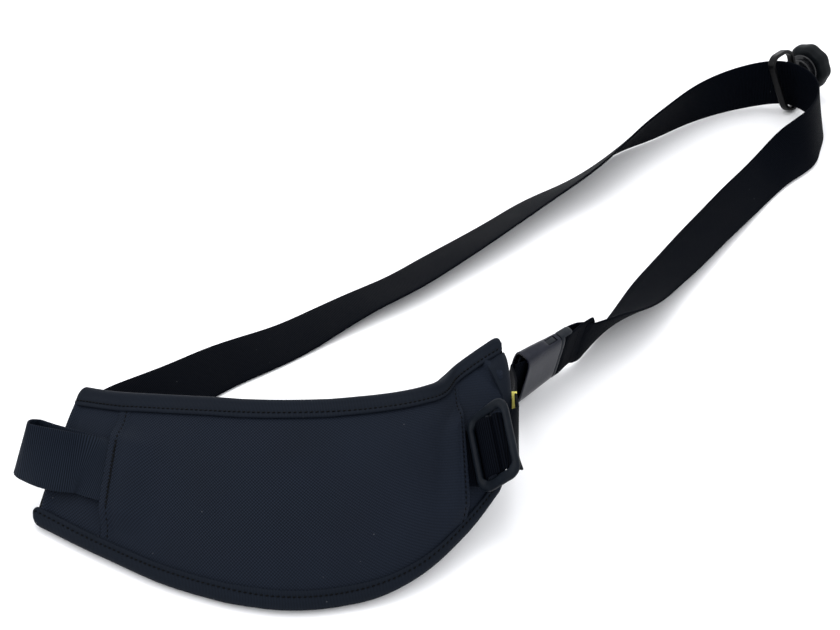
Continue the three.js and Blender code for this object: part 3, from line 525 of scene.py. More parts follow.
def webbing_rings(node):
    """Centres and unit width directions of a webbing node's rings, from one end to the other."""
    bm = bmesh.new()
    bm.from_mesh(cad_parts[node].data)
    bmesh.ops.remove_doubles(bm, verts=bm.verts, dist=MERGE)
    start = next(v for v in bm.verts if is_cap_middle(v))
    seen, ring, rings = {start}, [start], []
    while ring:
        following = []
        for vertex in ring:
            for edge in vertex.link_edges:
                other = edge.other_vert(vertex)
                if other not in seen:
                    seen.add(other)
                    following.append(other)
        if len(following) == RING_CORNERS:
            rings.append([v.co.copy() for v in following])
        ring = following
    bm.free()
    centres = np.array([sum(r, Vector()) / RING_CORNERS for r in rings])
    widths = []
    for r in rings:
        # the width runs from the middle of one edge's four corners to the middle of the other's
        a, b = max(((p, q) for p in r for q in r), key=lambda pair: (pair[0] - pair[1]).length)
        corners = sorted(r, key=lambda p: (p - a).dot(b - a))
        w = sum(corners[4:], Vector()) / 4 - sum(corners[:4], Vector()) / 4
        w.normalize()
        widths.append(w if not widths or w.dot(widths[-1]) > 0 else -w)
    return centres, np.array(widths)


def carried_on(rows):
    """The rows with one more at each end, carried on straight."""
    return np.vstack([2 * rows[0] - rows[1], rows, 2 * rows[-1] - rows[-2]])


def smooth_rows(values, at):
    """Catmull-Rom through equally spaced rows, read at fractional row numbers."""
    padded = carried_on(values)
    i = np.clip(np.floor(at).astype(int), 0, len(values) - 2)
    t = (at - i)[:, None]
    p0, p1, p2, p3 = (padded[i + k] for k in range(4))
    squared, cubed = 2 * p0 - 5 * p1 + 4 * p2 - p3, 3 * p1 - p0 - 3 * p2 + p3
    return 0.5 * (2 * p1 + (p2 - p0) * t + squared * t**2 + cubed * t**3)


def unit(vectors):
    return vectors / np.linalg.norm(vectors, axis=-1, keepdims=True)


def length_gone(points):
    """Length gone by at each of a row of points."""
    return np.concatenate([[0], np.cumsum(np.linalg.norm(np.diff(points, axis=0), axis=1))])


class Webbing:
    """A run of webbing as fine frames: centre, width, normal, and the length gone by."""

    FINE = 12  # places between two rings at which the run is measured

    def __init__(self, node, step):
        centres, widths = webbing_rings(node)
        gaps = len(centres) - 1
        fine = np.linspace(0, gaps, gaps * self.FINE + 1)
        gone = length_gone(smooth_rows(centres, fine))
        self.length = gone[-1]
        self.stops = np.linspace(0, self.length, int(self.length / step) + 1)
        at = np.interp(self.stops, gone, fine)
        self.centre = smooth_rows(centres, at)
        self.width = smooth_rows(widths, at)
        self.aim()

    def aim(self):
        """Works out the directions along and off the webbing again from its middle line."""
        self.along = unit(np.gradient(self.centre, axis=0))
        self.width = unit(self.width - self.along * (self.width * self.along).sum(1, keepdims=True))
        self.normal = np.cross(self.along, self.width)

    def point(self, length, side, height):
        """Points at lengths along the run, side metres across it and height metres off it."""
        i = np.interp(length, self.stops, np.arange(len(self.stops)))
        low = np.floor(i).astype(int)
        high = np.minimum(low + 1, len(self.stops) - 1)
        t = (i - low)[..., None]
        rows = (self.centre, self.width, self.normal)
        centre, width, normal = (row[low] * (1 - t) + row[high] * t for row in rows)
        side, height = np.broadcast_arrays(side, height)
        return centre + width * side[..., None] + normal * height[..., None]


# %% [markdown]
# The webbing's cross-section is flat with a rounded woven edge that is a hair thicker than the
# field, as on real nylon webbing. Ends are cut and heat sealed, so they close with a thin rim.

# %% Webbing pieces
WEB_HALF, WEB_THICK = 0.019, 0.0016
EDGE_RISE, EDGE_IN, EDGE_SPREAD = 0.00008, 0.0015, 0.001  # the swell beside each edge
FLAT_STEPS, EDGE_STEPS = 9, 5


def webbing_profile():
    """Closed outline of the cross-section: (side, height) going round once."""
    r = WEB_THICK / 2
    turn = np.linspace(-math.pi / 2, math.pi / 2, EDGE_STEPS)
    edge = [(WEB_HALF - r + r * math.cos(a), r * math.sin(a)) for a in turn]
    flat = [(x, r) for x in np.linspace(WEB_HALF - r, -WEB_HALF + r, FLAT_STEPS + 2)[1:-1]]
    outline = np.array(edge + flat + [(-x, -h) for x, h in edge + flat])
    swell = EDGE_RISE * np.exp(-(((np.abs(outline[:, 0]) - WEB_HALF + EDGE_IN) / EDGE_SPREAD) ** 2))
    outline[:, 1] += np.sign(outline[:, 1]) * swell
    return outline


def webbing_piece(name, run, material, cut=0.0):
    """The closed piece of a run; its last end has corners rounded off by `cut`."""
    outline = webbing_profile()
    rings = len(run.stops)
    n = len(outline)
    side, height = outline[:, 0], outline[:, 1]
    past = np.maximum(0, cut - (run.length - run.stops))
    narrow = 1 - (cut - np.sqrt(cut**2 - past**2)) / WEB_HALF
    points = (
        run.centre[:, None]
        + run.width[:, None] * (side[None, :, None] * narrow[:, None, None])
        + run.normal[:, None] * height[None, :, None]
    ).reshape(-1, 3)
    uv = np.stack(np.broadcast_arrays(side[None, :], run.stops[:, None]), -1).reshape(-1, 2)
    faces = [list(f) for f in grid_faces(rings, n, closed_columns=True)]
    faces.append(list(range(n))[::-1])
    faces.append([(rings - 1) * n + k for k in range(n)])
    return mesh_piece(name, points, faces, uv, material)


# %% [markdown]
# Stiff webbing turns in wide bends. The CAD run has a few hard corners where it twists, so the two
# long pieces are averaged along their length. The strap's last stretch is held, because its fold
# round the plug's bar is tight on the real one too.

# %% Strap and grab loop
FADE_RINGS = 10
FLOOR_CLEAR = 0.0001


def eased(rows, reach):
    """Rows averaged with their neighbours, nearer ones more; the two ends stay where they are."""
    steps = np.arange(-3 * reach, 3 * reach + 1)
    weight = np.exp(-0.5 * (steps / reach) ** 2)
    padded = np.vstack([2 * rows[0] - rows[3 * reach:0:-1], rows, 2 * rows[-1] - rows[-2:-3 * reach - 2:-1]])
    return np.stack([np.convolve(padded[:, k], weight / weight.sum(), "valid") for k in range(3)], 1)


def relax(run, reach, held=0):
    """Averages a run over its neighbours, all but its last held rings, and keeps it off the floor."""
    count = len(run.centre)
    free = np.clip((count - held - np.arange(count)) / FADE_RINGS, 0, 1)[:, None]
    run.centre = run.centre + (eased(run.centre, reach) - run.centre) * free
    run.width = run.width + (eased(run.width, reach) - run.width) * free
    run.aim()
    drop = np.abs(run.width[:, 2]) * WEB_HALF + np.abs(run.normal[:, 2]) * WEB_THICK / 2
    run.centre[:, 2] += np.maximum(0, FLOOR_CLEAR - (run.centre[:, 2] - drop))


strap_run = Webbing("long_strap", 0.0025)
relax(strap_run, 5, held=36)
strap = webbing_piece("strap_webbing", strap_run, strap_cloth, cut=0.0051)
finish_piece(strap, ["long_strap"])

grab_run = Webbing("grab_loop", 0.0012)
relax(grab_run, 2)
grab = webbing_piece("grab_webbing", grab_run, lit_loop_cloth)
finish_piece(grab, ["grab_loop"])
for piece, run in ((strap, strap_run), (grab, grab_run)):
    print(piece.name, "cut length", round(run.length, 4), "m, faces", len(piece.data.polygons))

# %% [markdown]
# ## The pad's own coordinates
#
# The pad is a crescent that leans back and bends forward at its right end. Eight cross-sections
# describe it, the same eight as in the CAD model: each has a lower edge, an upper edge and how far
# its middle bulges towards the front. A place on the pad is then two numbers, s along the sections
# and v up from the lower edge, and a distance along the normal. Cloth, tape and thread all use
# these three, so they stay on one another whatever the pad does.

# %% Pad sections
PAD_SECTIONS = MM * np.array([
    # lower x, y, z, upper x, y, z, bulge
    (-236, -228.4, 1.1, -212, -152, 53, 3),
    (-196, -255.4, 1.1, -185, -164, 58, 4),
    (-145, -284.4, 1.1, -134, -179, 66, 5),
    (-89, -302.4, 1.1, -81, -188, 71, 6),
    (-42, -298.4, 1.3, -31, -183, 70, 6),
    (-5, -280.9, 5, 4, -171, 69, 6),
    (27, -248.4, 11.8, 21, -146, 65, 5),
    (50, -213, 20, 49, -125, 73, 4),
])
TO_FRAME = MM * np.array((-38.32, -10.755, 0.22))  # from the pad's drawing to the model's origin
BULGE_WAY = np.array((0, -0.5, 0.866))
PAD_ENDS = (-0.14, 7.06)
RIGHT_BULGE = 0.2
SEAM_LEFT, SEAM_RIGHT = 1.0, 6.0


def section_at(s):
    """All seven columns of the sections at any position s, carried on straight past the ends."""
    s = np.asarray(s, float)
    rows = carried_on(PAD_SECTIONS)
    i = np.clip(np.floor(s), 0, len(PAD_SECTIONS) - 2).astype(int)
    t = (s - i)[..., None]
    before, start, end, after = (rows[i + k] for k in range(4))
    slope_1, slope_2 = (end - before) / 2, (after - start) / 2
    a = 2 * start - 2 * end + slope_1 + slope_2
    b = 3 * end - 3 * start - 2 * slope_1 - slope_2
    inside = ((a * t + b) * t + slope_1) * t + start
    return np.where(t < 0, start + slope_1 * t, np.where(t > 1, end + slope_2 * (t - 1), inside))


def pad_middle(s, v):
    """Points of the foam's middle sheet at s along the pad and v up it."""
    s, v = np.broadcast_arrays(np.asarray(s, float), np.asarray(v, float))
    row = section_at(s)
    low, high, bulge = row[..., 0:3], row[..., 3:6], row[..., 6:7]
    v = v[..., None]
    return low + (high - low) * v + BULGE_WAY * bulge * 4 * v * (1 - v) + TO_FRAME


def pad_directions(s, v, step=0.02):
    """Unit directions along the pad, up its slope and out of its front."""
    along = unit(pad_middle(s + step, v) - pad_middle(s - step, v))
    up = unit(pad_middle(s, v + step) - pad_middle(s, v - step))
    return along, up, unit(np.cross(along, up))


def pad_point(s, v, offset):
    """Points at a distance in front of the middle sheet, or behind it if negative."""
    return pad_middle(s, v) + pad_directions(s, v)[2] * np.asarray(offset)[..., None]


def pad_height(s):
    return np.linalg.norm(pad_middle(s, 0.0) - pad_middle(s, 1.0), axis=-1)


def ease(x):
    t = np.clip(x, 0, 1)
    return t * t * (3 - 2 * t)


FOAM_RIM, FOAM_CROWN = 2.5 * MM, 2.2 * MM  # half thickness at the rim, and what the middle adds
FOAM_FLAT, FOAM_RISE = 5 * MM, 27 * MM  # how far from the rim it starts to rise, and for how long


def foam_half(distance):
    """Half thickness of the foam at a distance from the nearer long edge."""
    return FOAM_RIM + FOAM_CROWN * ease((distance - FOAM_FLAT) / FOAM_RISE)


def from_rim(s, v):
    return np.minimum(v, 1 - v) * pad_height(s)


SAMPLE_S = np.linspace(-0.3, 7.4, 400)
SAMPLE_LONG = length_gone(pad_middle(SAMPLE_S, 0.5))


def pad_length(s):
    """Metres along the middle of the pad up to s."""
    return np.interp(s, SAMPLE_S, SAMPLE_LONG)


def s_at(length):
    """The s that lies this many metres along the middle of the pad."""
    return np.interp(length, SAMPLE_LONG, SAMPLE_S)


core_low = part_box("pad_core")[0]
pad_check = pad_middle(np.linspace(*PAD_ENDS, 60)[:, None], np.linspace(0.04, 0.96, 20)[None])
print("pad", [round(v, 4) for v in pad_check.min((0, 1))], "CAD core", [round(v, 4) for v in core_low])
pad_long = pad_length(PAD_ENDS[1]) - pad_length(PAD_ENDS[0])
print("pad length", round(float(pad_long), 4), "height at the middle", round(float(pad_height(3.5)), 4))

# %% [markdown]
# ## Filling the pad by simulation
#
# A real pad is a cloth bag held tight round foam: the edge tape and the two seams pinch it, and
# the cloth between them swells. A closed shell with the pad's outline is made slightly thin,
# pinned along its rim, its ends and its seams, and blown up by the cloth solver with
# gravity off. What is kept is only how far each place moved along the pad's normal, limited to
# 3 mm, so the outline stays the CAD model's and the swelling is the cloth's own.

# %% Cloth shell of the pad
SHELL_S, SHELL_V = 96, 30
RIM_INSET = 4.4 * MM
THIN = 1.0 * MM


def right_end(fv):
    """s of the right end at a share fv of its height: it is rounded outward."""
    return PAD_ENDS[1] + RIGHT_BULGE * (1 - (2 * fv - 1) ** 2)


def core_end(f, fv):
    """s at a share f of the core's length."""
    return PAD_ENDS[0] + (right_end(fv) - PAD_ENDS[0]) * f


def inset_v(s, fv, inset):
    """v at a share fv of the height that is left between insets from both long edges."""
    share = inset / pad_height(s)
    return share + (1 - 2 * share) * fv


share_s, share_v = np.meshgrid(np.linspace(0, 1, SHELL_S + 1), np.linspace(0, 1, SHELL_V + 1), indexing="ij")
shell_s = core_end(share_s, share_v)
shell_v = inset_v(shell_s, share_v, RIM_INSET)
shell_middle = pad_middle(shell_s, shell_v)
shell_normal = pad_directions(shell_s, shell_v)[2]
shell_half = foam_half(from_rim(shell_s, shell_v))


def shell_faces(rows, columns):
    """Faces of a closed body from two equal grids, the front first, joined round their border."""
    sheet = rows * columns
    front = grid_faces(rows, columns)
    back = grid_faces(rows, columns, flip=True) + sheet
    edge = (
        [(i, 0) for i in range(rows)]
        + [(rows - 1, j) for j in range(1, columns)]
        + [(i, columns - 1) for i in range(rows - 2, -1, -1)]
        + [(0, j) for j in range(columns - 2, 0, -1)]
    )
    ring = [i * columns + j for i, j in edge]
    wall = [[b, a, a + sheet, b + sheet] for a, b in zip(ring, ring[1:] + ring[:1])]
    return [list(f) for f in front] + [list(f) for f in back] + wall


# %% [markdown]
# The solver holds what the sewing holds: the rim under the tape, the two seams and the two ends.
# The pressure lifts only what lies between them, and the stiff cloth spreads it into a smooth
# swelling.

# %% Blow up the shell
PIN_RIM, PIN_RIM_FADE = 10 * MM, 4 * MM
PIN_SEAM, PIN_SEAM_FADE = 1.3, 0.09
PIN_END, PIN_END_FADE = 0.05, 0.02
SWELL_FRAMES, SWELL_PRESSURE = 20, 150


def pin_weights():
    """1 where the shell is held: along its rim, its two seams and its two ends."""
    held = np.clip((PIN_RIM - from_rim(shell_s, shell_v)) / PIN_RIM_FADE, 0, 1)
    for seam in (SEAM_LEFT, SEAM_RIGHT):
        held = np.maximum(held, np.clip(PIN_SEAM - np.abs(shell_s - seam) / PIN_SEAM_FADE, 0, 1))
    to_end = np.minimum(share_s, 1 - share_s)
    return np.maximum(held, np.clip((PIN_END - to_end) / PIN_END_FADE, 0, 1))


def simulate_shell():
    """How far the front and the back rise along the normal when the shell is blown up."""
    started = shell_half - THIN
    start = np.concatenate([
        (shell_middle + shell_normal * started[..., None]).reshape(-1, 3),
        (shell_middle - shell_normal * started[..., None]).reshape(-1, 3),
    ])
    shell = mesh_piece("pad_shell", start, shell_faces(SHELL_S + 1, SHELL_V + 1))
    pins = shell.vertex_groups.new(name="pins")
    for i, weight in enumerate(np.tile(pin_weights().ravel(), 2)):
        pins.add([i], float(weight), "REPLACE")
    cloth_sim = shell.modifiers.new("cloth", "CLOTH")
    settings = cloth_sim.settings
    settings.quality = 8
    settings.mass = 0.01
    settings.tension_stiffness = settings.compression_stiffness = 18
    settings.shear_stiffness = 6
    settings.bending_stiffness = 0.6
    settings.use_pressure = True
    settings.uniform_pressure_force = SWELL_PRESSURE
    settings.vertex_group_mass = "pins"
    settings.effector_weights.gravity = 0
    cloth_sim.point_cache.frame_start = 1
    cloth_sim.point_cache.frame_end = SWELL_FRAMES
    for number in range(1, SWELL_FRAMES + 1):
        SCENE.frame_set(number)
    blown = shell.evaluated_get(bpy.context.evaluated_depsgraph_get())
    solved = blown.to_mesh()
    moved = np.empty(len(solved.vertices) * 3)
    solved.vertices.foreach_get("co", moved)
    moved = moved.reshape(2, SHELL_S + 1, SHELL_V + 1, 3)
    offsets = ((moved - shell_middle) * shell_normal).sum(-1)
    blown.to_mesh_clear()
    bpy.data.objects.remove(shell)
    SCENE.frame_set(1)
    return offsets[0] - started, -offsets[1] - started


# %% [markdown]
# The swelling is a grid of heights over the pad, one for the front and one for the back, and later
# pieces read it at any s and v.

# %% Swelling as a grid
MOST_SWELL, QUICK_SWELL = 3.0 * MM, 1.2 * MM
rise_front, rise_back = simulate_shell()
rise_front = np.clip(rise_front, -MOST_SWELL, MOST_SWELL)
rise_back = np.clip(rise_back, -MOST_SWELL, MOST_SWELL)
print("swelling in mm, front", round(rise_front.min() / MM, 2), round(rise_front.max() / MM, 2))


def read_grid(grid, s, v):
    """Smooth value of a shell grid at any s and v."""
    fv = np.clip((v * pad_height(s) - RIM_INSET) / (pad_height(s) - 2 * RIM_INSET), 0, 1)
    fs = np.clip((s - PAD_ENDS[0]) / (right_end(fv) - PAD_ENDS[0]), 0, 1)
    x, y = fs * SHELL_S, fv * SHELL_V
    i = np.clip(np.floor(x).astype(int), 0, SHELL_S - 1)
    j = np.clip(np.floor(y).astype(int), 0, SHELL_V - 1)
    # half straight and half eased, so that no grid line shows
    a, b = 0.5 * (ease(x - i) + x - i), 0.5 * (ease(y - j) + y - j)
    near = grid[i, j] * (1 - b) + grid[i, j + 1] * b
    far = grid[i + 1, j] * (1 - b) + grid[i + 1, j + 1] * b
    return near * (1 - a) + far * a


def foam_front(s, v):
    return foam_half(from_rim(s, v)) + read_grid(rise_front, s, v)


def foam_back(s, v):
    return foam_half(from_rim(s, v)) + read_grid(rise_back, s, v)


# %% [markdown]
# ## Pad lining
#
# The body of the pad is the foam in its soft lining. It shows on the back and as a dark lip at
# both ends. It reads the simulated swelling on a finer grid, closest near the rim, and its two
# ends close in a rounded nose instead of a square wall.

# %% Lining body
LINING_S, LINING_V = 120, 34
NOSE_REACH, NOSE_LEAST = 3.2 * MM, 0.02


def pad_lining():
    rim_close = 0.5 - 0.5 * np.cos(np.linspace(0, math.pi, LINING_V + 1))
    grid_f, grid_v = np.meshgrid(np.linspace(0, 1, LINING_S + 1), rim_close, indexing="ij")
    s = core_end(grid_f, grid_v)
    v = inset_v(s, grid_v, RIM_INSET)
    end_gap = np.minimum(pad_length(s) - pad_length(s[0:1]), pad_length(s[-1:]) - pad_length(s))
    nose = np.sqrt(np.clip(1 - (1 - np.clip(end_gap / NOSE_REACH, 0, 1)) ** 2, NOSE_LEAST, 1))
    middle, normal = pad_middle(s, v), pad_directions(s, v)[2]
    top = middle + normal * (foam_front(s, v) * nose)[..., None]
    bottom = middle - normal * (foam_back(s, v) * nose)[..., None]
    points = np.concatenate([top.reshape(-1, 3), bottom.reshape(-1, 3)])
    place = np.stack([pad_length(s), v * pad_height(s)], -1).reshape(-1, 2)
    faces = shell_faces(LINING_S + 1, LINING_V + 1)
    return mesh_piece("pad_lining", points, faces, np.concatenate([place, place]), lining_cloth)


lining = pad_lining()
finish_piece(lining, ["pad_core"])
print("lining faces", len(lining.data.polygons))

# %% [markdown]
# ## Cloth panels
#
# The pad's face is three panels of coated cloth. The middle one is folded under along both of
# its seams, and the folds hold the ends of the grab webbing and the adjuster webbing. The cloth
# is about a millimetre thick, so each panel is a slab with a rounded nose where it is folded, a
# shallow groove under each stitch row, and small puckers between the stitches.

# %% Panel shape
CLOTH = 1.0 * MM
PANEL_GAP = 0.4 * MM
PANEL_INSET = 5.6 * MM
WEB_LAYER = 2.0 * MM
STITCH_PITCH = 3.2 * MM
GRAB_FRONT_V, GRAB_BACK_V, ADJUST_V = 0.475, 0.49, 0.411
TUCKS = [
    # seam, middle of the webbing, layers under the fold, clearance, room beside the webbing
    (SEAM_LEFT, GRAB_FRONT_V, 2, 0.8 * MM, 1.6 * MM),
    (SEAM_LEFT, GRAB_BACK_V, 1, 0.8 * MM, 1.6 * MM),
    (SEAM_RIGHT, ADJUST_V, 1, 2.4 * MM, 7.5 * MM),
]
TUCK_FLAT, TUCK_FADE, TUCK_SIDE_FADE = 0.2, 0.5, 14 * MM


def tuck_lift(s, v):
    """How far the folded panel is raised over the webbing that it holds."""
    lift = np.zeros(np.broadcast(s, v).shape)
    for seam, middle, layers, clear, beside in TUCKS:
        reach = 1 - ease((np.abs(s - seam) - TUCK_FLAT) / TUCK_FADE)
        side = np.abs(v - middle) * pad_height(s)
        band = 1 - ease((side - WEB_HALF - beside) / TUCK_SIDE_FADE)
        lift = np.maximum(lift, (CLOTH + clear + layers * WEB_LAYER) * reach * band)
    return lift


def drape(s, v):
    """Slow unevenness of hand-cut, hand-sewn cloth, under half a millimetre."""
    a = np.sin(3.1 * s + 4.0 * v + 0.6) * np.sin(7.0 * v - 1.7 * s)
    b = np.sin(8.3 * s - 2.0 * v) * np.sin(11.0 * v + 2.1 * s + 1.0)
    return MM * (0.28 * a + 0.12 * b)


def panel_base(s, v):
    """Height of a panel's underside above the foam's middle sheet."""
    return foam_front(s, v) + PANEL_GAP + drape(s, v) * ease(from_rim(s, v) / (25 * MM))


def strip_body(name, loops, uv, material):
    """Closed body from a stack of closed loops of an even number of points, capped with quads."""
    rows, n = loops.shape[:2]
    faces = [list(f) for f in grid_faces(rows, n, closed_columns=True)]
    last = (rows - 1) * n
    for k in range(n // 2 - 1):
        faces.append([k + 1, k, n - 1 - k, n - 2 - k])
        faces.append([last + k, last + k + 1, last + n - 2 - k, last + n - 1 - k])
    return mesh_piece(name, loops.reshape(-1, 3), faces, uv.reshape(-1, 2), material)


def stops_between(start, end, coarse, fine, dense, near=0.17):
    """Stops from start to end in s, close together near the places in dense."""
    stops = [start]
    while stops[-1] < end:
        gap = min(abs(stops[-1] - place) for place in dense)
        stops.append(stops[-1] + (fine if gap < near else min(coarse, fine + (gap - near) * 0.5)))
    stops = np.array(stops)
    return start + (stops - start) * (end - start) / (stops[-1] - start)


# %% [markdown]
# A panel is a row of closed loops. Each loop runs over the top, round one fold, back underneath
# and round the other fold. It is made to start in the middle of a fold, so that the first and the
# last loop can be closed with plain quads.

# %% Panel slab
PANEL_ROWS, NOSE_STEPS = 110, 7


def panel(name, rows_s, base, groove, fold_start, fold_end, material):
    """A cloth slab over the stations rows_s: groove(s, v) presses it down, folds close its ends."""
    s_grid, fv = np.meshgrid(rows_s, np.linspace(0, 1, PANEL_ROWS))
    v_grid = inset_v(s_grid, fv, PANEL_INSET)
    inner = base(s_grid, v_grid)
    outer = inner + CLOTH + groove(s_grid, v_grid)
    along, _, normal = pad_directions(s_grid, v_grid)
    middle = pad_middle(s_grid, v_grid)
    top = middle + normal * outer[..., None]
    under = middle + normal * inner[..., None]

    def folded_end(column, out_share, side):
        """Points round the fold at one column, from the side it starts on to the other."""
        centre = (top[:, column] + under[:, column]) / 2
        half = (outer[:, column] - inner[:, column])[:, None] / 2
        away, across = along[:, column] * half * out_share, normal[:, column] * half * side
        turn = np.linspace(0, math.pi, NOSE_STEPS + 2)[1:-1]
        return np.stack([centre + away * math.sin(a) + across * math.cos(a) for a in turn], 1)

    def on_loop(grid):
        """A grid's values in the loop's order; a fold takes the value of its own edge."""
        first, last = (np.repeat(grid[:, k:k + 1], NOSE_STEPS, 1) for k in (0, grid.shape[1] - 1))
        return np.concatenate([grid, last, grid[:, ::-1], first], axis=1)

    ends = folded_end(-1, fold_end, 1), folded_end(0, -fold_start, -1)
    loop = np.concatenate([top, ends[0], under[:, ::-1], ends[1]], axis=1)
    places = np.stack([on_loop(pad_length(s_grid)), on_loop(v_grid * pad_height(s_grid))], -1)
    shift = (NOSE_STEPS + 1) // 2
    return strip_body(name, np.roll(loop, shift, axis=1), np.roll(places, shift, axis=1), material)


def row_dip(distance, depth, width):
    """A soft furrow at distance 0; taken away instead of added, it is a soft ridge."""
    return -depth * np.exp(-((distance / width) ** 2))


# %% Middle panel
FOLD_GAP = 0.012
LEFT_ROW, RIGHT_ROW = 5.0 * MM, 3.6 * MM  # stitch rows inside the two folds
ROW_DEEP, ROW_WIDE, HEM = 0.42 * MM, 1.1 * MM, 0.7 * MM


def middle_groove(s, v):
    """Both stitch rows pressed in, deepest at each stitch, and the hems doubled at the folds."""
    left = pad_length(s) - pad_length(SEAM_LEFT)
    right = pad_length(SEAM_RIGHT) - pad_length(s)
    up = v * pad_height(s)
    puff = 0.5 + 0.5 * np.cos(2 * math.pi * up / STITCH_PITCH)
    press = row_dip(left - LEFT_ROW, ROW_DEEP, ROW_WIDE) * (0.55 + 0.45 * puff)
    press += row_dip(right - RIGHT_ROW, ROW_DEEP, ROW_WIDE) * (0.55 + 0.45 * puff)
    hem = HEM * (1 - ease((left - 6 * MM) / (3 * MM))) + HEM * (1 - ease((right - 5 * MM) / (3 * MM)))
    return press + hem


def middle_base(s, v):
    return panel_base(s, v) + tuck_lift(s, v)


middle_span = (SEAM_LEFT + FOLD_GAP, SEAM_RIGHT - FOLD_GAP)
middle_panel = panel(
    "pad_face_middle", stops_between(*middle_span, 0.07, 0.012, [SEAM_LEFT, SEAM_RIGHT]),
    middle_base, middle_groove, 1.0, 1.0, pad_cloth,
)
finish_piece(middle_panel, ["pad_front_panel"])

# %% End panels
def left_groove(s, v):
    """The left end is turned in a soft roll that stands a little proud."""
    out = pad_length(s) - pad_length(0.0)
    return row_dip(out - 6.5 * MM, 0.25 * MM, 1.6 * MM) - row_dip(out, 1.1 * MM, 3.4 * MM)


def right_groove(s, v):
    """The right end turns round the foam, with one slanting crease above the adjuster."""
    out = pad_length(7.0) - pad_length(s)
    crease = (pad_length(s) - pad_length(6.42)) - (0.98 - v) * 62 * MM
    share = ease((v - 0.6) / 0.1) * ease((1.02 - v) / 0.12)
    fold = row_dip(crease, 2.1 * MM, 2.0 * MM) - row_dip(crease - 4.6 * MM, 1.7 * MM, 3.2 * MM)
    return np.maximum(fold * share, -0.7 * MM) - row_dip(out, 0.8 * MM, 3.0 * MM)


ROLLED, TUCKED = 1.9, 0.4  # how far out the two kinds of end stand, in half thicknesses
left_panel = panel(
    "pad_face_left", np.linspace(0.0, SEAM_LEFT - FOLD_GAP, 34),
    panel_base, left_groove, ROLLED, TUCKED, pad_cloth,
)
finish_piece(left_panel, ["pad_end_panel_left"])
right_panel = panel(
    "pad_face_right", np.linspace(SEAM_RIGHT + FOLD_GAP, 7.0, 44),
    panel_base, right_groove, TUCKED, ROLLED, pad_cloth,
)
finish_piece(right_panel, ["pad_end_panel_right"])
print("panel faces", [len(p.data.polygons) for p in (left_panel, middle_panel, right_panel)])

# %% [markdown]
# ## Edge tape
#
# A strip of ribbed tape is folded over each long edge and stitched through. Seen in section it
# is a hook: a flat leg on the front, a round bend past the rim and a flat leg on the back. The
# hook is swept along the pad, pressed in under the stitch row, and puckered a little at each
# stitch, and its two ends are drawn in and rounded where the tape is cut and turned under.

# %% Tape sweep
TAPE_WIDE_TOP, TAPE_WIDE_BOTTOM, TAPE_THICK = 15.4 * MM, 11.4 * MM, 1.4 * MM
TAPE_BEND, TAPE_INNER, TAPE_RISE = 5.4 * MM, 3.7 * MM, 0.7 * MM
TAPE_ROW = 3.4 * MM  # stitch row to the tape's inner edge
TAPE_CLEAR, TAPE_PRESS = 0.35 * MM, 0.45 * MM
BEND_STEPS, LEG_STEPS = 14, 10


def tape_width(upper):
    return TAPE_WIDE_TOP if upper else TAPE_WIDE_BOTTOM


def hook_order(leg_front, bend_out, leg_back_out, leg_back_in, bend_in, leg_front_in):
    """One row of values round a hook: out along its outside, back along its inside."""
    return np.concatenate([
        leg_front, bend_out, leg_back_out[:, ::-1], leg_back_in, bend_in[:, ::-1], leg_front_in[:, ::-1]
    ], 1)


def way_round(distance, offset):
    """Length gone by round each hook."""
    steps = np.hypot(*np.diff([distance, offset], axis=2))
    return np.concatenate([np.zeros((len(steps), 1)), np.cumsum(steps, axis=1)], 1)


def tape_loop(s, upper, puff):
    """Hook outline at stations s: distances from the rim and heights above the foam's middle."""
    n = len(s)
    width = tape_width(upper)
    height = pad_height(s)
    d_leg = np.linspace(width, TAPE_BEND, LEG_STEPS + 1)[None, :-1].repeat(n, 0)
    v_leg = np.where(upper, 1 - d_leg / height[:, None], d_leg / height[:, None])
    s_leg = s[:, None].repeat(LEG_STEPS, 1)
    settle = ease((d_leg - TAPE_BEND) / (3 * MM))
    press = row_dip(width - TAPE_ROW - d_leg, TAPE_PRESS, ROW_WIDE) * (0.5 + 0.5 * puff[:, None])
    worn_edge = row_dip(width - d_leg, TAPE_PRESS, 0.5 * MM)
    front_in = panel_base(s_leg, v_leg) + CLOTH + TAPE_CLEAR
    front_out = front_in + TAPE_THICK + press + worn_edge
    back_in = -foam_back(s_leg, v_leg) - TAPE_CLEAR
    back_out = back_in - TAPE_THICK - press * 0.6 - worn_edge
    turn = np.linspace(math.pi / 2, 3 * math.pi / 2, BEND_STEPS + 1)[None].repeat(n, 0)
    outer_r = TAPE_INNER + TAPE_THICK

    def bend(radius):
        return TAPE_BEND + radius * np.cos(turn), TAPE_RISE + radius * np.sin(turn)

    def joined(leg, bend_end):
        """A leg's heights, brought to the height at which the bend starts or ends."""
        return bend_end + (leg - bend_end) * settle

    bend_out, bend_in = bend(outer_r), bend(TAPE_INNER)
    distance = hook_order(d_leg, bend_out[0], d_leg, d_leg, bend_in[0], d_leg)
    offset = hook_order(
        joined(front_out, TAPE_RISE + outer_r), bend_out[1], joined(back_out, TAPE_RISE - outer_r),
        joined(back_in, TAPE_RISE - TAPE_INNER), bend_in[1], joined(front_in, TAPE_RISE + TAPE_INNER),
    )
    return distance, offset


END_DRAWN = 4.5 * MM  # the last stretch of each end, drawn towards the middle of the hook
WANDER, WANDER_WAVE = 0.25 * MM, 23 * MM


def drawn_in(distance, offset, near_end, middle):
    """The hook drawn towards its middle where it is near an end."""
    drawn = np.sqrt(np.clip(1 - (1 - np.clip(near_end / END_DRAWN, 0, 1)) ** 2, 0.1, 1))[:, None]
    distance = middle + (distance - middle) * (0.72 + 0.28 * drawn)
    return distance, TAPE_RISE + (offset - TAPE_RISE) * (0.78 + 0.22 * drawn)


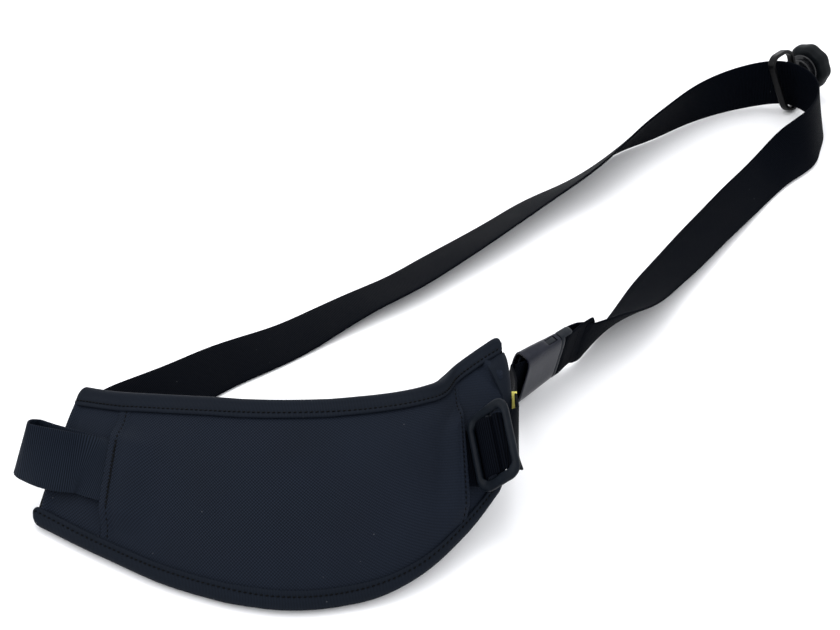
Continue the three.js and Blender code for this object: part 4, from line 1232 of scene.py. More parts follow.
def round_corner(distance, from_end, corner, narrows):
    """Distances from the rim with one corner turned in; where narrows is set, the leg narrows too."""
    left = np.clip(1 - from_end / corner, 0, 1)
    turned = (corner * (1 - np.sqrt(1 - 0.96 * left**2)) * 0.8)[:, None]
    kept = 0.6 + 0.4 * np.sqrt(1 - left**2)[:, None] if narrows else 1
    leg = np.maximum(distance - TAPE_BEND, 0)
    return distance - leg * (1 - kept) + turned * np.clip(1 - leg / (3 * MM), 0, 1)


def edge_tape(name, upper, start, end, corners):
    """The tape from s = start to end, its corners rounded by the two lengths given."""
    long = pad_length(end) - pad_length(start)
    s = np.linspace(start, end, int(long / (0.85 * MM)))
    gone = pad_length(s) - pad_length(start)
    puff = 0.5 - 0.5 * np.cos(2 * math.pi * gone / STITCH_PITCH)
    distance, offset = tape_loop(s, upper, puff)
    near_end = np.minimum(gone, long - gone)
    wander = WANDER * np.sin(gone / WANDER_WAVE + (1.3 if upper else 0.2))
    distance = distance + (wander * near_end / (40 * MM)).clip(-0.3 * MM, 0.3 * MM)[:, None]
    distance, offset = drawn_in(distance, offset, near_end, tape_width(upper) * 0.5)
    for from_end, corner in zip((gone, long - gone), corners):
        distance = round_corner(distance, from_end, corner, narrows=not upper)
    share = distance / pad_height(s)[:, None]
    points = pad_point(s[:, None].repeat(share.shape[1], 1), 1 - share if upper else share, offset)
    uv = np.stack([way_round(distance, offset), gone[:, None].repeat(share.shape[1], 1)], -1)
    return strip_body(name, points, uv, tape_cloth), float(long)


upper_tape, upper_long = edge_tape("edge_tape_top", True, -0.06, 7.1, (4 * MM, 9 * MM))
finish_piece(upper_tape, ["pad_edge_tape_upper"])
lower_tape, lower_long = edge_tape("edge_tape_bottom", False, -0.15, 6.98, (4.5 * MM, 5 * MM))
finish_piece(lower_tape, ["pad_edge_tape_lower"])
print("tape faces", len(upper_tape.data.polygons), "lengths", round(upper_long, 3), round(lower_long, 3))

# %% [markdown]
# ## Binding of the right end
#
# The right end of the pad is bound like its long edges, but with a wider band that is cut on a
# slant: broad under the upper tape and narrow behind the adjuster. Its outline is the same kind
# of hook, two legs joined by a half ellipse round the end of the foam, and it is swept up the
# end of the pad from the lower tape to the upper one.

# %% End binding
BIND_THICK, BIND_BEND, BIND_CLEAR = 1.3 * MM, 6.0 * MM, 0.5 * MM
BIND_LEGS, BIND_TURN, BIND_STATIONS = 14, 18, 110
BIND_S = 7.1  # where along the pad its height is read
BIND_BACK = 9 * MM  # width of the leg behind the pad
BIND_SOFT, BIND_PROUD, BIND_DRAWN = 0.4 * MM, 0.7 * MM, 0.07


def bind_inner_edge(v):
    """s of the band's free edge on the front: straight below, slanting inward above."""
    return 7.03 - 1.0 * np.clip(v - 0.57, 0, 1) - 0.03 * ease((v - 0.5) / 0.1)


def end_binding():
    height = float(pad_height(BIND_S))
    low, high = (TAPE_WIDE_BOTTOM + 0.5 * MM) / height, 1 - (TAPE_WIDE_TOP + 0.5 * MM) / height
    v = np.linspace(low, high, BIND_STATIONS)
    end = core_end(1.0, (v * height - RIM_INSET) / (height - 2 * RIM_INSET))
    scale = np.linalg.norm(pad_middle(7.2, v) - pad_middle(6.8, v), axis=-1) / 0.4  # metres in one s
    wide = np.maximum((end - bind_inner_edge(v)) * scale, BIND_BEND + 1 * MM)
    share = np.linspace(0, 1, BIND_LEGS + 1)[None, :-1]
    d_front = wide[:, None] + (BIND_BEND - wide[:, None]) * share
    d_back = (BIND_BACK + (BIND_BEND - BIND_BACK) * share).repeat(BIND_STATIONS, 0)
    v_leg = v[:, None].repeat(BIND_LEGS, 1)

    def place(distance):
        return end[:, None] - distance / scale[:, None]

    drawn = 1 - ease((v - high + BIND_DRAWN) / BIND_DRAWN)[:, None]  # drawn in under the upper tape
    proud = BIND_PROUD * ease((d_front - BIND_BEND) / (9 * MM)) * drawn
    front_in = panel_base(place(d_front), v_leg) + CLOTH + 0.3 * MM + proud
    back_in = -foam_back(place(d_back), v_leg) - 0.3 * MM
    front_soft = row_dip(wide[:, None] - d_front, BIND_SOFT, 0.5 * MM) * drawn
    back_soft = row_dip(BIND_BACK - d_back, BIND_SOFT, 0.5 * MM) * drawn
    thick = BIND_THICK * (0.45 + 0.55 * drawn)
    centre = (front_in[:, -1:] + back_in[:, -1:]) / 2
    half = (front_in[:, -1:] - back_in[:, -1:]) / 2
    turn = np.linspace(math.pi / 2, -math.pi / 2, BIND_TURN + 1)[None]
    inner_d = BIND_BEND - (BIND_BEND + BIND_CLEAR) * np.cos(turn) + 0 * half
    outer_d = BIND_BEND - (BIND_BEND + BIND_CLEAR + thick) * np.cos(turn)
    distance = hook_order(d_front, outer_d, d_back, d_back, inner_d, d_front)
    offset = hook_order(
        front_in + thick + front_soft, centre + (half + thick) * np.sin(turn), back_in - thick - back_soft,
        back_in, centre + half * np.sin(turn), front_in,
    )
    v_all = v[:, None].repeat(distance.shape[1], 1)
    uv = np.stack([way_round(distance, offset), v_all * height], -1)
    return strip_body("end_binding", pad_point(place(distance), v_all, offset), uv, tape_cloth)


binding = end_binding()
finish_piece(binding, [])
print("end binding faces", len(binding.data.polygons))

# %% [markdown]
# ## Moulded and metal parts
#
# The adjuster, the ring, the buckle, the stem and the knob are hard, so light slides over them in
# clean bands and any facet would show. Each is made as rings of points: a bar swept round a
# loop, a housing lofted from mouth to end, or a profile turned round an axis. Their frames, the
# origin and the two directions of each, are those of the CAD model.

# %% Frames
class Frame:
    """Own x, y and z directions and origin of a hard piece."""

    def __init__(self, origin, x_way, y_way):
        self.origin = MM * np.array(origin) + TO_FRAME
        self.x = unit(np.array(x_way, float))
        self.z = unit(np.cross(self.x, np.array(y_way, float)))
        self.y = np.cross(self.z, self.x)

    def place(self, points):
        """Points in millimetres of this frame to metres of the model."""
        points = np.asarray(points, float) * MM
        return self.origin + points[..., 0:1] * self.x + points[..., 1:2] * self.y + points[..., 2:3] * self.z


# %% Sweeps and caps
def oval(steps, half_a, half_b, power_a=2.0, power_b=2.0):
    """Points of a squared oval going round once; a power of 2 is a plain ellipse."""
    angle = 2 * math.pi * np.arange(steps) / steps
    c, d = np.cos(angle), np.sin(angle)
    return np.stack([
        np.sign(c) * np.abs(c) ** (2 / power_a) * half_a,
        np.sign(d) * np.abs(d) ** (2 / power_b) * half_b,
    ], -1)


def swept_loop(path, wide, thick, power, sides=20):
    """Closed bar round a loop of points: wide and thick are half sizes in the loop's plane and across."""
    path = np.asarray(path, float)
    along = unit(np.roll(path, -1, 0) - np.roll(path, 1, 0))
    out = unit(np.stack([along[:, 1], -along[:, 0], np.zeros(len(path))], -1))
    rise = np.cross(out, along)
    section = oval(sides, 1, 1, power, power)
    wide, thick = np.broadcast_to(wide, len(path)), np.broadcast_to(thick, len(path))
    return (
        path[:, None]
        + out[:, None] * (wide[:, None] * section[None, :, 0])[..., None]
        + rise[:, None] * (thick[:, None] * section[None, :, 1])[..., None]
    )


def ring_faces(rings, sides, closed):
    faces = [list(f) for f in grid_faces(rings, sides, closed_columns=True)]
    if closed:
        last = (rings - 1) * sides
        faces += [[last + k, last + (k + 1) % sides, (k + 1) % sides, k] for k in range(sides)]
    return faces


def joined_piece(name, parts, material, sharp=35):
    """One mesh object from closed parts, each a pair of points and faces, with faces turned out."""
    points, faces = [], []
    for part_points, part_faces in parts:
        start = sum(len(p) for p in points)
        points.append(np.asarray(part_points).reshape(-1, 3))
        faces += [[start + k for k in f] for f in part_faces]
    obj = mesh_piece(name, np.concatenate(points), faces, None, material)
    bm = bmesh.new()
    bm.from_mesh(obj.data)
    bmesh.ops.recalc_face_normals(bm, faces=bm.faces)
    bm.to_mesh(obj.data)
    bm.free()
    obj.data.set_sharp_from_angle(angle=math.radians(sharp))
    return obj


def capped(rings):
    """Points and faces of rings of points, closed by a fan at each end."""
    count, sides = rings.shape[:2]
    points = np.concatenate([rings.reshape(-1, 3), rings[0].mean(0)[None], rings[-1].mean(0)[None]])
    faces = ring_faces(count, sides, False)
    low, high = count * sides, count * sides + 1
    last = (count - 1) * sides
    faces += [[low, (k + 1) % sides, k] for k in range(sides)]
    faces += [[high, last + k, last + (k + 1) % sides] for k in range(sides)]
    return points, faces


def bar_along_y(y, section):
    """Rings of a straight bar: section holds the x and z of each ring's points, y where they are."""
    shape = (len(y), len(section))
    columns = section[None, :, 0], y[:, None], section[None, :, 1]
    return np.stack([np.broadcast_to(c, shape) for c in columns], -1)


def rounded_loop(half_x, half_y, corner, corner_steps=14, side_steps=12):
    """Points of a rounded rectangle going round once, even along its sides and corners."""
    points = []
    corners = [(1, 1, 0), (-1, 1, 90), (-1, -1, 180), (1, -1, 270)]
    for i, (sx, sy, start) in enumerate(corners):
        centre = np.array((sx * (half_x - corner), sy * (half_y - corner)))
        for k in range(corner_steps + 1):
            a = math.radians(start + 90 * k / corner_steps)
            points.append(centre + corner * np.array((math.cos(a), math.sin(a))))
        nx, ny, turn = corners[(i + 1) % 4]
        a = math.radians(turn)
        following = np.array((nx * (half_x - corner), ny * (half_y - corner)))
        following = following + corner * np.array((math.cos(a), math.sin(a)))
        here = points[-1]
        points += [here + (following - here) * k / side_steps for k in range(1, side_steps)]
    return np.array(points)


# %% Strap adjuster
TRI = Frame((45, -215.8, 57), (0.79, -0.15, 0.59), (-0.17, 0.87, 0.46))
TRI_HALF_X, TRI_HALF_Y, TRI_CORNER, TRI_SAG = 15, 22.5, 7, 2.6
TRI_WIDE, TRI_TOP_MORE, TRI_BOTTOM_MORE, TRI_DEEP = 2.4, 0.8, 1.2, 1.9  # the cross bars are broadest
TRI_TOP_LIFT = 1.3  # the top bar rises towards its outer end
BAR_END, BAR_DROP = 0.6, 1

tri_path = rounded_loop(TRI_HALF_X, TRI_HALF_Y, TRI_CORNER)
tri_height = TRI_SAG * np.sin(math.pi * tri_path[:, 0] / (2 * TRI_HALF_X))
tri_path = np.column_stack([tri_path, tri_height])
tri_top, tri_bottom = ease((tri_path[:, 1] - 15) / 6), ease((-tri_path[:, 1] - 16) / 5)
tri_path[:, 1] += TRI_TOP_LIFT * tri_top * (1 + tri_path[:, 0] / TRI_HALF_X)
tri_wide = TRI_WIDE + TRI_TOP_MORE * tri_top + TRI_BOTTOM_MORE * tri_bottom
tri_frame = swept_loop(tri_path, tri_wide, TRI_DEEP, 2.7)
bar_y = np.linspace(-TRI_HALF_Y + BAR_END, TRI_HALF_Y - BAR_END, 25)
tri_bar = bar_along_y(bar_y, oval(20, 2.0, 1.8, 2.4, 2.4) - (0, BAR_DROP))
adjuster_bar = joined_piece(
    "adjuster_frame",
    [(TRI.place(tri_frame), ring_faces(len(tri_path), 20, True)), capped(TRI.place(tri_bar))],
    glide_plastic,
)
finish_piece(adjuster_bar, ["strap_adjuster"])

# %% [markdown]
# The webbing in the adjuster is pulled tight over the middle bar and sinks beside it, so it shows
# two broad humps with a dark valley between them. The run read from the CAD model is pressed down
# there by about its own thickness before its cloth is made.

# %% Adjuster webbing
VALLEY_X, VALLEY_WIDE, VALLEY_DEEP = 3.9, 1.5, 1.7
CREST_X, CREST_WIDE, CREST_HIGH = 7.2, 1.7, 0.6
FRONT_FROM, FRONT_HALF = -1.5, 12  # the webbing in front of the frame, and inside its length

adjuster_run = Webbing("adjuster_webbing", 0.0008)
from_bar = (adjuster_run.centre - TRI.origin) / MM
bar_x, bar_up, bar_z = from_bar @ TRI.x, from_bar @ TRI.y, from_bar @ TRI.z
in_front = (bar_z > FRONT_FROM) & (np.abs(bar_up) < FRONT_HALF)
valley = row_dip(bar_x - VALLEY_X, VALLEY_DEEP, VALLEY_WIDE)
crest = -row_dip(bar_x - CREST_X, CREST_HIGH, CREST_WIDE)
adjuster_run.centre = adjuster_run.centre + ((valley + crest) * in_front * MM)[:, None] * TRI.z
adjuster_run.aim()
adjuster = webbing_piece("adjuster_strap", adjuster_run, strap_cloth)
finish_piece(adjuster, ["adjuster_webbing"])
print(adjuster.name, "cut length", round(adjuster_run.length, 4), "m, faces", len(adjuster.data.polygons))

# %% [markdown]
# The buckle housing is one closed skin. Its rings start at the bottom of the mouth, come out
# along the inner wall, turn over the lip, run along the outside, turn over the other lip and go
# back into the socket. The two side windows are left out of the grid, and the inner and outer
# skins are joined round them. A shallow finger dip surrounds each window.

# %% Buckle housing
BUCKLE = Frame((66.8, -101, 23.2), (0.707, 0.707, 0), (0.171, -0.171, 0.97))
HOUSING_ROWS = np.array([
    # x, half width, half height
    (-4, 22.6, 7.4), (-1, 22.4, 7.1), (8, 22.2, 6.5), (16, 21.6, 6), (24, 21, 5.6), (31, 20.4, 5.2),
])
HOUSING_STEPS = 96
WINDOW = (19.0, 28.0)
WINDOW_COLUMNS = 3  # grid columns each side of the middle that the window takes
MOUTH_WALL, SOCKET_WALL, LIP = 1.35, 1.6, 0.7
MOUTH_DEPTH, SOCKET_DEPTH = 14.0, 16.5
DIP_DEEP, DIP_X, DIP_REACH = 0.9, 23.5, 8.5


def housing_half(x):
    return np.array([np.interp(x, HOUSING_ROWS[:, 0], HOUSING_ROWS[:, k]) for k in (1, 2)])


def housing_profile():
    """x and inset from the outside, from the mouth's bottom out, over both lips, to the socket's."""
    start, end = HOUSING_ROWS[0, 0], HOUSING_ROWS[-1, 0]
    turn = np.linspace(0.2, math.pi - 0.2, 9)
    mouth, socket = MOUTH_WALL / 2, SOCKET_WALL / 2
    rows = [(MOUTH_DEPTH, 3.4), (MOUTH_DEPTH, 2.2)]
    rows += [(x, MOUTH_WALL + 0.3 * ease((x + 2) / 8.0)) for x in (12, 9, 6, 3, 0, -1.5, -2.6)]
    rows += [(start + LIP - LIP * math.sin(a), mouth + mouth * math.cos(a)) for a in turn]
    rows += [(x, 0) for x in (-2.4, -1, 2, 5, 8, 11, 14, 16, 17.5, 19)]
    rows += [(x, 0) for x in (20.5, 22, 23.5, 25, 26.5, 28, 29.2, 30)]
    rows += [(end - LIP + LIP * math.sin(a), socket - socket * math.cos(a)) for a in turn]
    rows += [(x, SOCKET_WALL) for x in (29.6, 28, 26.5, 25, 23.5, 22, 20.5, 19, 17.5)]
    return rows + [(SOCKET_DEPTH, SOCKET_WALL + 0.6), (SOCKET_DEPTH, SOCKET_WALL + 1.6)]


def housing_rings(rows):
    """A ring of points for each row of the profile; the outside is dipped where a finger presses."""
    rings = []
    for x, inset in rows:
        half_y, half_z = housing_half(x)
        ring = oval(HOUSING_STEPS, half_y - inset, half_z - inset, 5, 4)
        if inset == 0:
            dip = DIP_DEEP * ease(1 - abs(x - DIP_X) / DIP_REACH)
            side = np.exp(-((ring[:, 1] / (0.7 * half_z)) ** 2)) * np.sign(ring[:, 0])
            ring[:, 0] -= dip * side * (np.abs(ring[:, 0]) > 0.8 * half_y)
        rings.append(np.column_stack([np.full(HOUSING_STEPS, x), ring]))
    return np.array(rings)


def cut_window(faces, middle, outer, inner):
    """Faces without those of one side window, and with walls that join the two skins round it."""
    stops = [x for x in sorted(outer) if WINDOW[0] <= x <= WINDOW[1]]
    columns = [(middle + k) % HOUSING_STEPS for k in range(-WINDOW_COLUMNS, WINDOW_COLUMNS + 1)]
    skipped = set()
    for x0, x1 in zip(stops, stops[1:]):
        for a, b in zip(columns, columns[1:]):
            for ring_at in (outer, inner):
                skipped.add(frozenset(ring_at[x] * HOUSING_STEPS + c for x in (x0, x1) for c in (a, b)))
    border = [(x, columns[0]) for x in stops] + [(stops[-1], c) for c in columns[1:]]
    border += [(x, columns[-1]) for x in stops[::-1][1:]] + [(stops[0], c) for c in columns[::-1][1:-1]]
    out_ring, in_ring = ([ring_at[x] * HOUSING_STEPS + c for x, c in border] for ring_at in (outer, inner))
    n = len(border)
    walls = [[out_ring[k], out_ring[(k + 1) % n], in_ring[(k + 1) % n], in_ring[k]] for k in range(n)]
    return [f for f in faces if frozenset(f) not in skipped] + walls


def housing_parts():
    """Points and faces of the housing's skin with both windows cut."""
    rows = housing_profile()
    points, faces = capped(housing_rings(rows))
    outer = {x: i for i, (x, inset) in enumerate(rows) if inset == 0}
    inner = {x: i for i, (x, inset) in enumerate(rows) if inset == SOCKET_WALL and i > outer[WINDOW[1]]}
    for middle in (0, HOUSING_STEPS // 2):
        faces = cut_window(faces, middle, outer, inner)
    return BUCKLE.place(points), faces


def round_bar(x, radius, reach, sides=24):
    """A bar across the buckle at x."""
    section = oval(sides, radius, radius) + (x, 0)
    return capped(BUCKLE.place(bar_along_y(np.linspace(-reach, reach, 9), section)))


webbing_bar = round_bar(9, 1.9, 21.4)
housing = joined_piece("buckle_shell", [housing_parts(), webbing_bar], housing_plastic)
finish_piece(housing, ["buckle_housing"])
print("housing faces", len(housing.data.polygons))

# %% [markdown]
# The plug is already right in the CAD model, prongs and guide included, so it is taken from
# there: its triangles are merged, flat faces joined, and every hard edge gets a small bevel.

# %% Buckle plug
def softened_copy(name, node, width, material, segments=3, angle=32):
    """A merged copy of a CAD node with bevelled edges."""
    bm = bmesh.new()
    bm.from_mesh(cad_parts[node].data)
    bmesh.ops.remove_doubles(bm, verts=bm.verts, dist=2e-6)
    bmesh.ops.dissolve_limit(bm, angle_limit=math.radians(1.5), verts=bm.verts, edges=bm.edges)
    mesh = bpy.data.meshes.new(name)
    bm.to_mesh(mesh)
    bm.free()
    obj = link(bpy.data.objects.new(name, mesh))
    bevel = obj.modifiers.new("bevel", "BEVEL")
    bevel.width = width
    bevel.segments = segments
    bevel.angle_limit = math.radians(angle)
    solved = bpy.data.meshes.new_from_object(obj.evaluated_get(bpy.context.evaluated_depsgraph_get()))
    solved.name = name
    obj.modifiers.clear()
    obj.data = solved
    solved.materials.clear()
    solved.materials.append(material)
    solved.polygons.foreach_set("use_smooth", [True] * len(solved.polygons))
    solved.set_sharp_from_angle(angle=math.radians(38))
    return obj


plug = softened_copy("buckle_prongs", "buckle_plug", 0.35 * MM, plug_plastic)
finish_piece(plug, ["buckle_plug"])
print("plug faces", len(plug.data.polygons))

# %% [markdown]
# The slider ring is a flat bar bent round a long loop, so it is the adjuster's sweep again, with a
# squarer section. The bar on the strap's side leans a little, as the strap pulls it over.

# %% Slider ring
SPIN = unit(np.array((0.68, 0.733, 0)))
RING_UP = np.array((-0.4, 0.02, 0.92))
RING_ORIGIN = np.array((294.2, 286.8, 24.3))
ring_across = unit(np.cross(RING_UP, SPIN))
RING = Frame(RING_ORIGIN, SPIN, np.cross(SPIN, ring_across))
RING_SHORT, RING_WIDE, RING_DEEP = 11, 1.5, 3.2
RING_LEAN, RING_PUSH = 0.16, 0.5  # the bar on the strap's side leans out at its top
RING_LONG, RING_CORNER, RING_SIDES = 23.6, 8, 32
ring_path = rounded_loop(RING_SHORT, RING_LONG, RING_CORNER)
strap_side = (RING_SHORT - ring_path[:, 0]) / (2 * RING_SHORT)
ring_path[:, 0] -= strap_side * (RING_PUSH + RING_LEAN * ring_path[:, 1])
ring_path = np.column_stack([ring_path, np.zeros(len(ring_path))])
ring_bar = RING.place(swept_loop(ring_path, RING_WIDE, RING_DEEP, 5, RING_SIDES))
slider = joined_piece("slider_loop", [(ring_bar, ring_faces(len(ring_path), RING_SIDES, True))], ring_coat)
finish_piece(slider, ["slider_ring"])

# %% [markdown]
# The stem and the knob are turned about the same axis, the one the knob spins on. The stem is a
# stack of collars with small rounded corners. The knob has eight lobes that fade out towards the
# middle of each face, a rolled edge, and a shallow dish with a centre cap on its far side.

# %% Stem
STEM_GAP = 0.3
AXLE = Frame(RING_ORIGIN + SPIN * (RING_SHORT + RING_WIDE + STEM_GAP), np.cross(SPIN, (0, 0, 1)), SPIN)
STEM_ROWS = [
    # radius, distance from the ring, corner radius
    (5.2, 0, 0.3), (6, 0.8, 0.3), (6, 2.4, 0.3), (4.6, 3.2, 0.3), (4.6, 5, 0.3), (9.2, 5.8, 0.3),
    (10, 6.6, 0.35), (10, 8.6, 0.35), (9.4, 9.3, 0.2), (12.4, 9.6, 0.2), (13, 10.2, 0.35),
    (13, 11.2, 0.35), (12.4, 11.7, 0.2), (6.5, 12, 0.2),
]


def soft_profile(rows, steps=4):
    """The rows with each corner cut back by its radius and rounded."""
    points = [np.array(r[:2], float) for r in rows]
    rounded = [points[0]]
    for before, (here, row), after in zip(points, zip(points[1:], rows[1:]), points[2:]):
        a = here + unit(before - here) * min(row[2], np.linalg.norm(before - here) / 2)
        b = here + unit(after - here) * min(row[2], np.linalg.norm(after - here) / 2)
        for t in np.linspace(0, 1, steps + 1):
            rounded.append(a * (1 - t) ** 2 + 2 * here * t * (1 - t) + b * t**2)
    return np.array(rounded + [points[-1]])


def turned(profile, radius_at, steps):
    """Rings about the axle: profile rows are radius and height, radius_at(r, angle) shapes them."""
    angle = 2 * math.pi * np.arange(steps) / steps
    r = radius_at(profile[:, 0:1], angle[None])
    h = np.broadcast_to(profile[:, 1:2], r.shape)
    return capped(AXLE.place(np.stack([r * np.cos(angle), h, r * np.sin(angle)], -1)))


def plain_round(r, angle):
    return r * np.ones_like(angle)


stem_rings = turned(soft_profile(STEM_ROWS), plain_round, 64)
stem = joined_piece("knob_stem", [stem_rings], stem_coat, sharp=60)
finish_piece(stem, ["swivel_stem"])
print("stem faces", len(stem.data.polygons))

# %% Knob
KNOB_R, KNOB_LOBE, KNOB_LOBES, KNOB_START = 19, 1.0, 8, 12.3
LOBES_FROM, LOBES_OVER = 8, 8  # the lobes set in past this radius, over this distance
KNOB_ROWS = [
    # radius, height, corner radius
    (6.9, 0.9, 0.3), (7.2, 0.4, 0.3), (13.6, 0, 0.5), (15.96, 0, 1.2), (17.6, 1.2, 1.2),
    (19, 3.6, 1.6), (19, 9.6, 1.6), (17.9, 12.0, 1.2), (16.3, 13, 1.2), (13.4, 13, 0.8),
    (12.6, 12.3, 0.5), (8.2, 12.0, 0.4), (7.8, 12.7, 0.5), (1.0, 13.0, 0.5),
]


def lobed(r, angle):
    depth = KNOB_LOBE * (0.5 - 0.5 * np.cos(KNOB_LOBES * angle))
    return r - depth * ease((r - LOBES_FROM) / LOBES_OVER) * r / KNOB_R


knob_profile = soft_profile(KNOB_ROWS) + np.array((0, KNOB_START))
knob_piece = joined_piece("turning_knob", [turned(knob_profile, lobed, 160)], knob_rubber, sharp=60)
finish_piece(knob_piece, ["knob"], body="knob")

# %% [markdown]
# ## Side tag
#
# A plain folded tab of yellow tape is sewn into the pad's right end. It is a strip bent in two
# with its fold outward, and it leans a little, as a soft tab does.

# %% Tag
TAG_V, TAG_OUT, TAG_HALF = 0.485, 5.4 * MM, 7.5 * MM
TAG_GAP, TAG_CLOTH = 0.34 * MM, 0.22 * MM  # half the gap between its layers, half a layer
TAG_LEAN, TAG_TAPER = 0.9 * MM, 0.06
TAG_STEPS = 10

tag_s = float(core_end(1.0, TAG_V))
tag_root = pad_middle(tag_s, TAG_V)
tag_up = pad_directions(7.0, TAG_V)[1]
tag_out = np.array((1.0, 0, 0))
tag_lean = unit(np.cross(tag_out, tag_up))


def tag_side(half):
    """One skin of the folded tab: out along the front layer, round the fold and back."""
    start, end = BIND_CLEAR + BIND_THICK + 0.1 * MM, TAG_OUT - 0.55 * MM
    reach = np.linspace(start, end, TAG_STEPS)
    turn = np.linspace(math.pi / 2, -math.pi / 2, 9)[1:-1]
    fold = [(reach[-1] + half * math.cos(a), half * math.sin(a)) for a in turn]
    return [(x, half) for x in reach] + fold + [(x, -half) for x in reach[::-1]]


tag_path = np.array(tag_side(TAG_GAP + TAG_CLOTH) + tag_side(TAG_GAP - TAG_CLOTH)[::-1])
tag_rows = np.linspace(-TAG_HALF, TAG_HALF, 20)
lean = TAG_LEAN * (tag_path[:, 0] / TAG_OUT) ** 2
tag_points = (
    tag_root
    + tag_out * tag_path[None, :, 0:1]
    + tag_lean * (tag_path[None, :, 1:2] + lean[None, :, None])
    + tag_up * (tag_rows[:, None, None] * (1 - TAG_TAPER * (tag_path[None, :, 0:1] / TAG_OUT)))
)
tag_uv = np.stack(np.broadcast_arrays(tag_rows[:, None], tag_path[None, :, 0]), -1)
tag = strip_body("yellow_tab", tag_points, tag_uv, tag_cloth)
finish_piece(tag, ["side_tag"])
print("tag faces", len(tag.data.polygons))

# %% [markdown]
# ## Stitching
#
# Every seam is a row of small thread humps, each sunk at its ends where the needle went in. That
# is one shape repeated along a path, so Geometry Nodes makes it: the path is a mesh of single
# points that carry two directions, along the row and out of the cloth, and the tree puts a hump
# on each point, turned to those directions. The instances are then made real and given the
# thread's finish, and the result is kept as a plain mesh.

# %% Stitch tree
def stitch_tree():
    tree = bpy.data.node_groups.new("stitch_row", "GeometryNodeTree")
    face = tree.interface
    face.new_socket("Points", in_out="INPUT", socket_type="NodeSocketGeometry")
    sizes = {}
    for label, value in (("Length", 0.0024), ("Width", 0.0006), ("Height", 0.0005)):
        socket = face.new_socket(label, in_out="INPUT", socket_type="NodeSocketFloat")
        socket.default_value = value
        sizes[label] = socket.identifier
    sizes["Thread"] = face.new_socket("Thread", in_out="INPUT", socket_type="NodeSocketMaterial").identifier
    face.new_socket("Stitches", in_out="OUTPUT", socket_type="NodeSocketGeometry")
    nodes, wire = tree.nodes, tree.links.new
    group_in, group_out = nodes.new("NodeGroupInput"), nodes.new("NodeGroupOutput")
    to_points = nodes.new("GeometryNodeMeshToPoints")
    wire(group_in.outputs["Points"], to_points.inputs["Mesh"])
    hump_mesh = nodes.new("GeometryNodeMeshUVSphere")
    hump_mesh.inputs["Segments"].default_value = 8
    hump_mesh.inputs["Rings"].default_value = 5
    hump_mesh.inputs["Radius"].default_value = 0.5
    ways = []
    for label in ("along", "out"):
        named = nodes.new("GeometryNodeInputNamedAttribute")
        named.data_type = "FLOAT_VECTOR"
        named.inputs["Name"].default_value = label
        ways.append(named.outputs["Attribute"])
    first = nodes.new("FunctionNodeAlignRotationToVector")
    first.axis = "X"
    wire(ways[0], first.inputs["Vector"])
    second = nodes.new("FunctionNodeAlignRotationToVector")
    second.axis, second.pivot_axis = "Z", "X"
    wire(first.outputs["Rotation"], second.inputs["Rotation"])
    wire(ways[1], second.inputs["Vector"])
    size = nodes.new("ShaderNodeCombineXYZ")
    for label, axis in (("Length", "X"), ("Width", "Y"), ("Height", "Z")):
        wire(group_in.outputs[label], size.inputs[axis])
    put = nodes.new("GeometryNodeInstanceOnPoints")
    wire(to_points.outputs["Points"], put.inputs["Points"])
    wire(hump_mesh.outputs["Mesh"], put.inputs["Instance"])
    wire(second.outputs["Rotation"], put.inputs["Rotation"])
    wire(size.outputs["Vector"], put.inputs["Scale"])
    real = nodes.new("GeometryNodeRealizeInstances")
    wire(put.outputs["Instances"], real.inputs["Geometry"])
    smooth_it = nodes.new("GeometryNodeSetShadeSmooth")
    wire(real.outputs["Geometry"], smooth_it.inputs["Geometry"])
    finish = nodes.new("GeometryNodeSetMaterial")
    wire(smooth_it.outputs["Geometry"], finish.inputs["Geometry"])
    wire(group_in.outputs["Thread"], finish.inputs["Material"])
    wire(finish.outputs["Geometry"], group_out.inputs["Stitches"])
    return tree, sizes


STITCH_TREE, STITCH_SIZE = stitch_tree()


def stitches(name, points, along, out, size):
    """A piece of thread humps at points; along and out are unit directions, size is in mm."""
    points, along, out = (np.asarray(a, float).reshape(-1, 3) for a in (points, along, out))
    mesh = bpy.data.meshes.new(name + "_path")
    mesh.from_pydata(points.tolist(), [], [])
    for label, values in (("along", along), ("out", out)):
        layer = mesh.attributes.new(label, "FLOAT_VECTOR", "POINT")
        layer.data.foreach_set("vector", values.ravel())
    path = link(bpy.data.objects.new(name + "_path", mesh))
    tool = path.modifiers.new("stitches", "NODES")
    tool.node_group = STITCH_TREE
    for label, value in zip(("Length", "Width", "Height"), size):
        tool[STITCH_SIZE[label]] = value * MM
    tool[STITCH_SIZE["Thread"]] = thread_fibre
    solved = bpy.data.meshes.new_from_object(path.evaluated_get(bpy.context.evaluated_depsgraph_get()))
    bpy.data.objects.remove(path)
    solved.name = name
    finish_piece(link(bpy.data.objects.new(name, solved)), [])
    print(name, len(points), "stitches", len(solved.polygons), "faces")


def turn_in_cloth(along, out, degrees):
    """Directions turned about the cloth's normal, since a lock stitch lies at a slant."""
    a = math.radians(degrees)
    return along * math.cos(a) + np.cross(out, along) * math.sin(a)


# %% Stitch rows on the tapes and folds
TAPE_STITCH, FOLD_STITCH = (2.3, 0.95, 0.8), (2.2, 0.9, 0.8)  # length, width and height in mm
TAPE_SUNK, FOLD_PROUD = 0.12 * MM, 0.05 * MM
TAPE_SLANT, FOLD_SLANT = 9, 8


